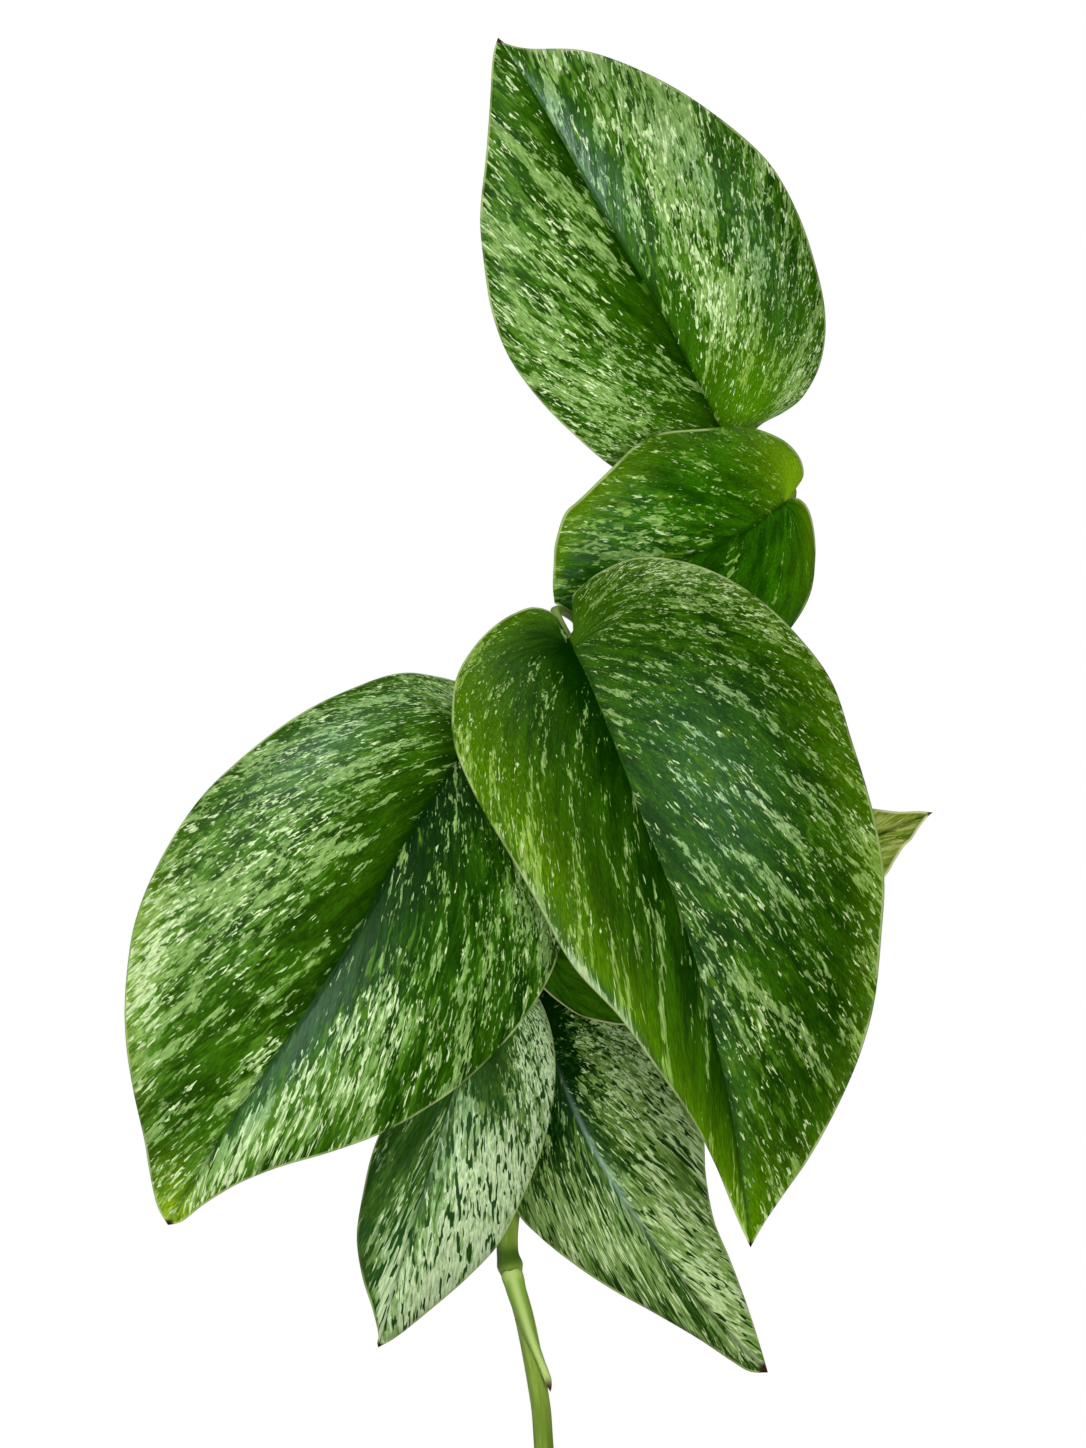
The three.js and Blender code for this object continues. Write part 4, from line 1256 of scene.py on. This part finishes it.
# %% [markdown]
# ## Fired clay
# Terracotta is fired without a glaze, so it is matt and a little rough. It has broad warm clouds,
# a chalky bloom where water dried, turning lines and fine grit. All of it is noise on Object
# coordinates, which have the scale of the real pot. The grit is drawn at 0.6 mm, because the real
# one, near 0.2 mm, would not show.

# %% Clay
WARM_CLOUD_MM = 45.5
BLOOM_MM = 29.4
GRIT_MM = 0.625
TURNING_LINE_MM = 2.38
ROUND_THE_POT_MM = 250.0


def per_metre(size_mm):
    """The scale of a noise whose blots are so many millimetres across."""
    return 1 / (size_mm * MM)


def fired_clay():
    """Unglazed fired clay: matt, finely grained, with turning lines and chalky bloom."""
    material, tree = new_material("fired_clay")
    place = add(tree, "TexCoord").outputs["Object"]
    broad = add(tree, "TexNoise", {
        "Vector": place, "Scale": per_metre(WARM_CLOUD_MM), "Detail": 5.0})
    warmth = add(tree, "MapRange", {"Value": broad, "From Min": 0.35, "From Max": 0.65})
    bloom_noise = add(tree, "TexNoise", {
        "Vector": place, "Scale": per_metre(BLOOM_MM), "Detail": 8.0, "Roughness": 0.7})
    bloom = add(tree, "MapRange", {
        "Value": bloom_noise, "From Min": 0.52, "From Max": 0.75, "To Max": 0.5})
    clay = "#a8593a"
    for share, colour in ((warmth, "#c27a56"), (bloom, "#dcc0ae")):
        clay = add(tree, "Mix", {0: share, 6: clay, 7: colour}, data_type="RGBA")
    grit = add(tree, "TexNoise", {"Vector": place, "Scale": per_metre(GRIT_MM), "Detail": 2.0})
    speck = add(tree, "MapRange", {
        "Value": grit, "From Min": 0.3, "From Max": 0.7, "To Min": 0.85, "To Max": 1.12})
    clay = add(tree, "Mix", {0: 1.0, 6: clay, 7: speck}, data_type="RGBA", blend_type="MULTIPLY")
    around = per_metre(ROUND_THE_POT_MM)
    flat = add(tree, "Mapping", {
        "Vector": place, "Scale": (around, around, per_metre(TURNING_LINE_MM))})
    lines = add(tree, "TexNoise", {"Vector": flat, "Scale": 1.0, "Detail": 3.0})
    relief = add(tree, "Math", {0: lines, 1: 1.5, 2: grit}, operation="MULTIPLY_ADD")
    return finished(material, clay, {"Roughness": 0.88}, relief, strength=0.6, depth_mm=0.3)


pot = object_from(spun(POT_PROFILE, POT_ROUNDING), "clay_pot", fired_clay())
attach(pot, "root")
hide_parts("pot")
print("pot", len(pot.data.polygons), "faces")

# %% [markdown]
# ## The soil
# Potting mix for a climbing aroid is peat with bark chips and white perlite. The bed is a plug
# that fills the pot, with a hole for the stem. It is spun like the pot, and its crowned top is
# then pushed up and down by noise, because soft peat settles in small lumps.

# %% Soil bed
SOIL_TOP = 95.0
SOIL_EDGE = 92.0
SETTLED = 1.0
INNER_AT_EDGE = 52.0
BED_FOOT_RADIUS = 37
BED_FOOT_HEIGHT = 6.3
BED_RINGS = 46
HOLE_RADIUS = 2.25
CLOD_MM = 3.85
LUMPS_ABOVE = 80
LUMPS_PER_METRE = 170
# How fast the finer lumps grow lower, how much finer each set is, and how many sets.
LUMP_SETS = (1.0, 2.0, 5)
LUMP_HEIGHT = 1.3
LUMPS_AT_WALL = 0.2
WALL_FADE = 2
HOLE_LIP = 0.1


def bed_height(radius):
    """The gently crowned top of the bed, in millimetres."""
    return SOIL_TOP - (SOIL_TOP - SOIL_EDGE) * (radius / INNER_AT_EDGE) ** 2 - SETTLED


def peat_mix():
    """Moist peat: nearly black brown, rough, with lighter fibres."""
    material, tree = new_material("peat_mix")
    place = add(tree, "TexCoord").outputs["Object"]
    clods = add(tree, "TexNoise", {"Vector": place, "Scale": per_metre(CLOD_MM), "Detail": 6.0})
    share = add(tree, "MapRange", {"Value": clods, "From Min": 0.35, "From Max": 0.68})
    earth = add(tree, "Mix", {0: share, 6: "#20160f", 7: "#4d3826"}, data_type="RGBA")
    return finished(material, earth, {"Roughness": 0.95}, clods, strength=0.9, depth_mm=1.0)


radii = [HOLE_RADIUS + (INNER_AT_EDGE - HOLE_RADIUS) * k / BED_RINGS for k in range(BED_RINGS + 1)]
bed_profile = [
    (0, BED_FOOT_HEIGHT), (BED_FOOT_RADIUS, BED_FOOT_HEIGHT),
    *[(radius, bed_height(radius)) for radius in reversed(radii)],
    (HOLE_RADIUS, STEM_FOOT), (0, STEM_FOOT)]
bed_bm = spun(bed_profile)
for v in bed_bm.verts:
    radius = math.hypot(v.co.x, v.co.y) / MM
    if v.co.z > LUMPS_ABOVE * MM and radius > HOLE_RADIUS + HOLE_LIP:
        lumps = noise.fractal(v.co * LUMPS_PER_METRE, *LUMP_SETS)
        fade = min(1, (INNER_AT_EDGE - radius) / WALL_FADE + LUMPS_AT_WALL)
        v.co.z += LUMP_HEIGHT * lumps * fade * MM
bed = object_from(bed_bm, "peat_bed", peat_mix())
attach(bed, "root")
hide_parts("soil")
print("soil bed", len(bed.data.polygons), "faces")

# %% [markdown]
# ## Loose bits on the soil
# Crumbs of peat, flat chips of bark and round white grains of perlite lie on the bed. There are
# some hundreds, so each is a plain icosphere of 20 faces, squashed to its kind's shape, with every
# point moved in or out a little. Three meshes hold them all, and a fixed seed lays them in the
# same places each time.

# %% Crumbs, bark and perlite
MOTTLE_MM = 2.38


def chip_surface(name, dark, light, roughness):
    """Dry peat, bark or perlite: one plain colour with a fine mottle, rough and matt."""
    material, tree = new_material(name)
    place = add(tree, "TexCoord").outputs["Object"]
    mottle = add(tree, "TexNoise", {"Vector": place, "Scale": per_metre(MOTTLE_MM), "Detail": 4.0})
    skin = add(tree, "Mix", {0: mottle, 6: dark, 7: light}, data_type="RGBA")
    return finished(material, skin, {"Roughness": roughness}, mottle,
                    strength=0.7, depth_mm=0.4)


# How many, their radii in millimetres, their squash and their look.
CRUMB_KINDS = {
    "peat_crumbs": (330, (0.7, 1.7), (1.0, 1.0, 0.7), ("#1d130c", "#4a3423", 0.95)),
    "bark_chips": (90, (1.8, 3.6), (1.0, 0.55, 0.28), ("#4a2c18", "#8a5c38", 0.85)),
    "perlite_grains": (70, (0.8, 1.6), (1.0, 0.9, 0.8), ("#cfcbc2", "#f3f1ec", 0.9)),
}
CLEAR_EDGE = 2
SUNK_SHARE = 0.25
MOST_TILT = 0.4
DENTS = (-0.28, 0.22)
draw = random.Random(7)
for name, (count, sizes, squash, paint) in CRUMB_KINDS.items():
    bm = bmesh.new()
    for _ in range(count):
        size = draw.uniform(*sizes)
        nearest = HOLE_RADIUS + CLEAR_EDGE + size
        farthest = INNER_AT_EDGE - CLEAR_EDGE - size
        radius = math.sqrt(draw.uniform(nearest ** 2, farthest ** 2))
        angle = draw.uniform(0, 2 * math.pi)
        place = Vector((radius * math.cos(angle), radius * math.sin(angle),
                        bed_height(radius) + SUNK_SHARE * size)) * MM
        turn = Matrix.Rotation(draw.uniform(0, 2 * math.pi), 4, "Z")
        tilt = Matrix.Rotation(draw.uniform(-MOST_TILT, MOST_TILT), 4, "X")
        shape = Matrix.Diagonal((*[size * MM * k for k in squash], 1))
        made = bmesh.ops.create_icosphere(
            bm, subdivisions=1, radius=1.0,
            matrix=Matrix.Translation(place) @ turn @ tilt @ shape)
        for v in made["verts"]:
            v.co += (v.co - place) * draw.uniform(*DENTS)
    piece = object_from(bm, name, chip_surface(name + "_surface", *paint))
    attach(piece, "root")
    print(name, count)
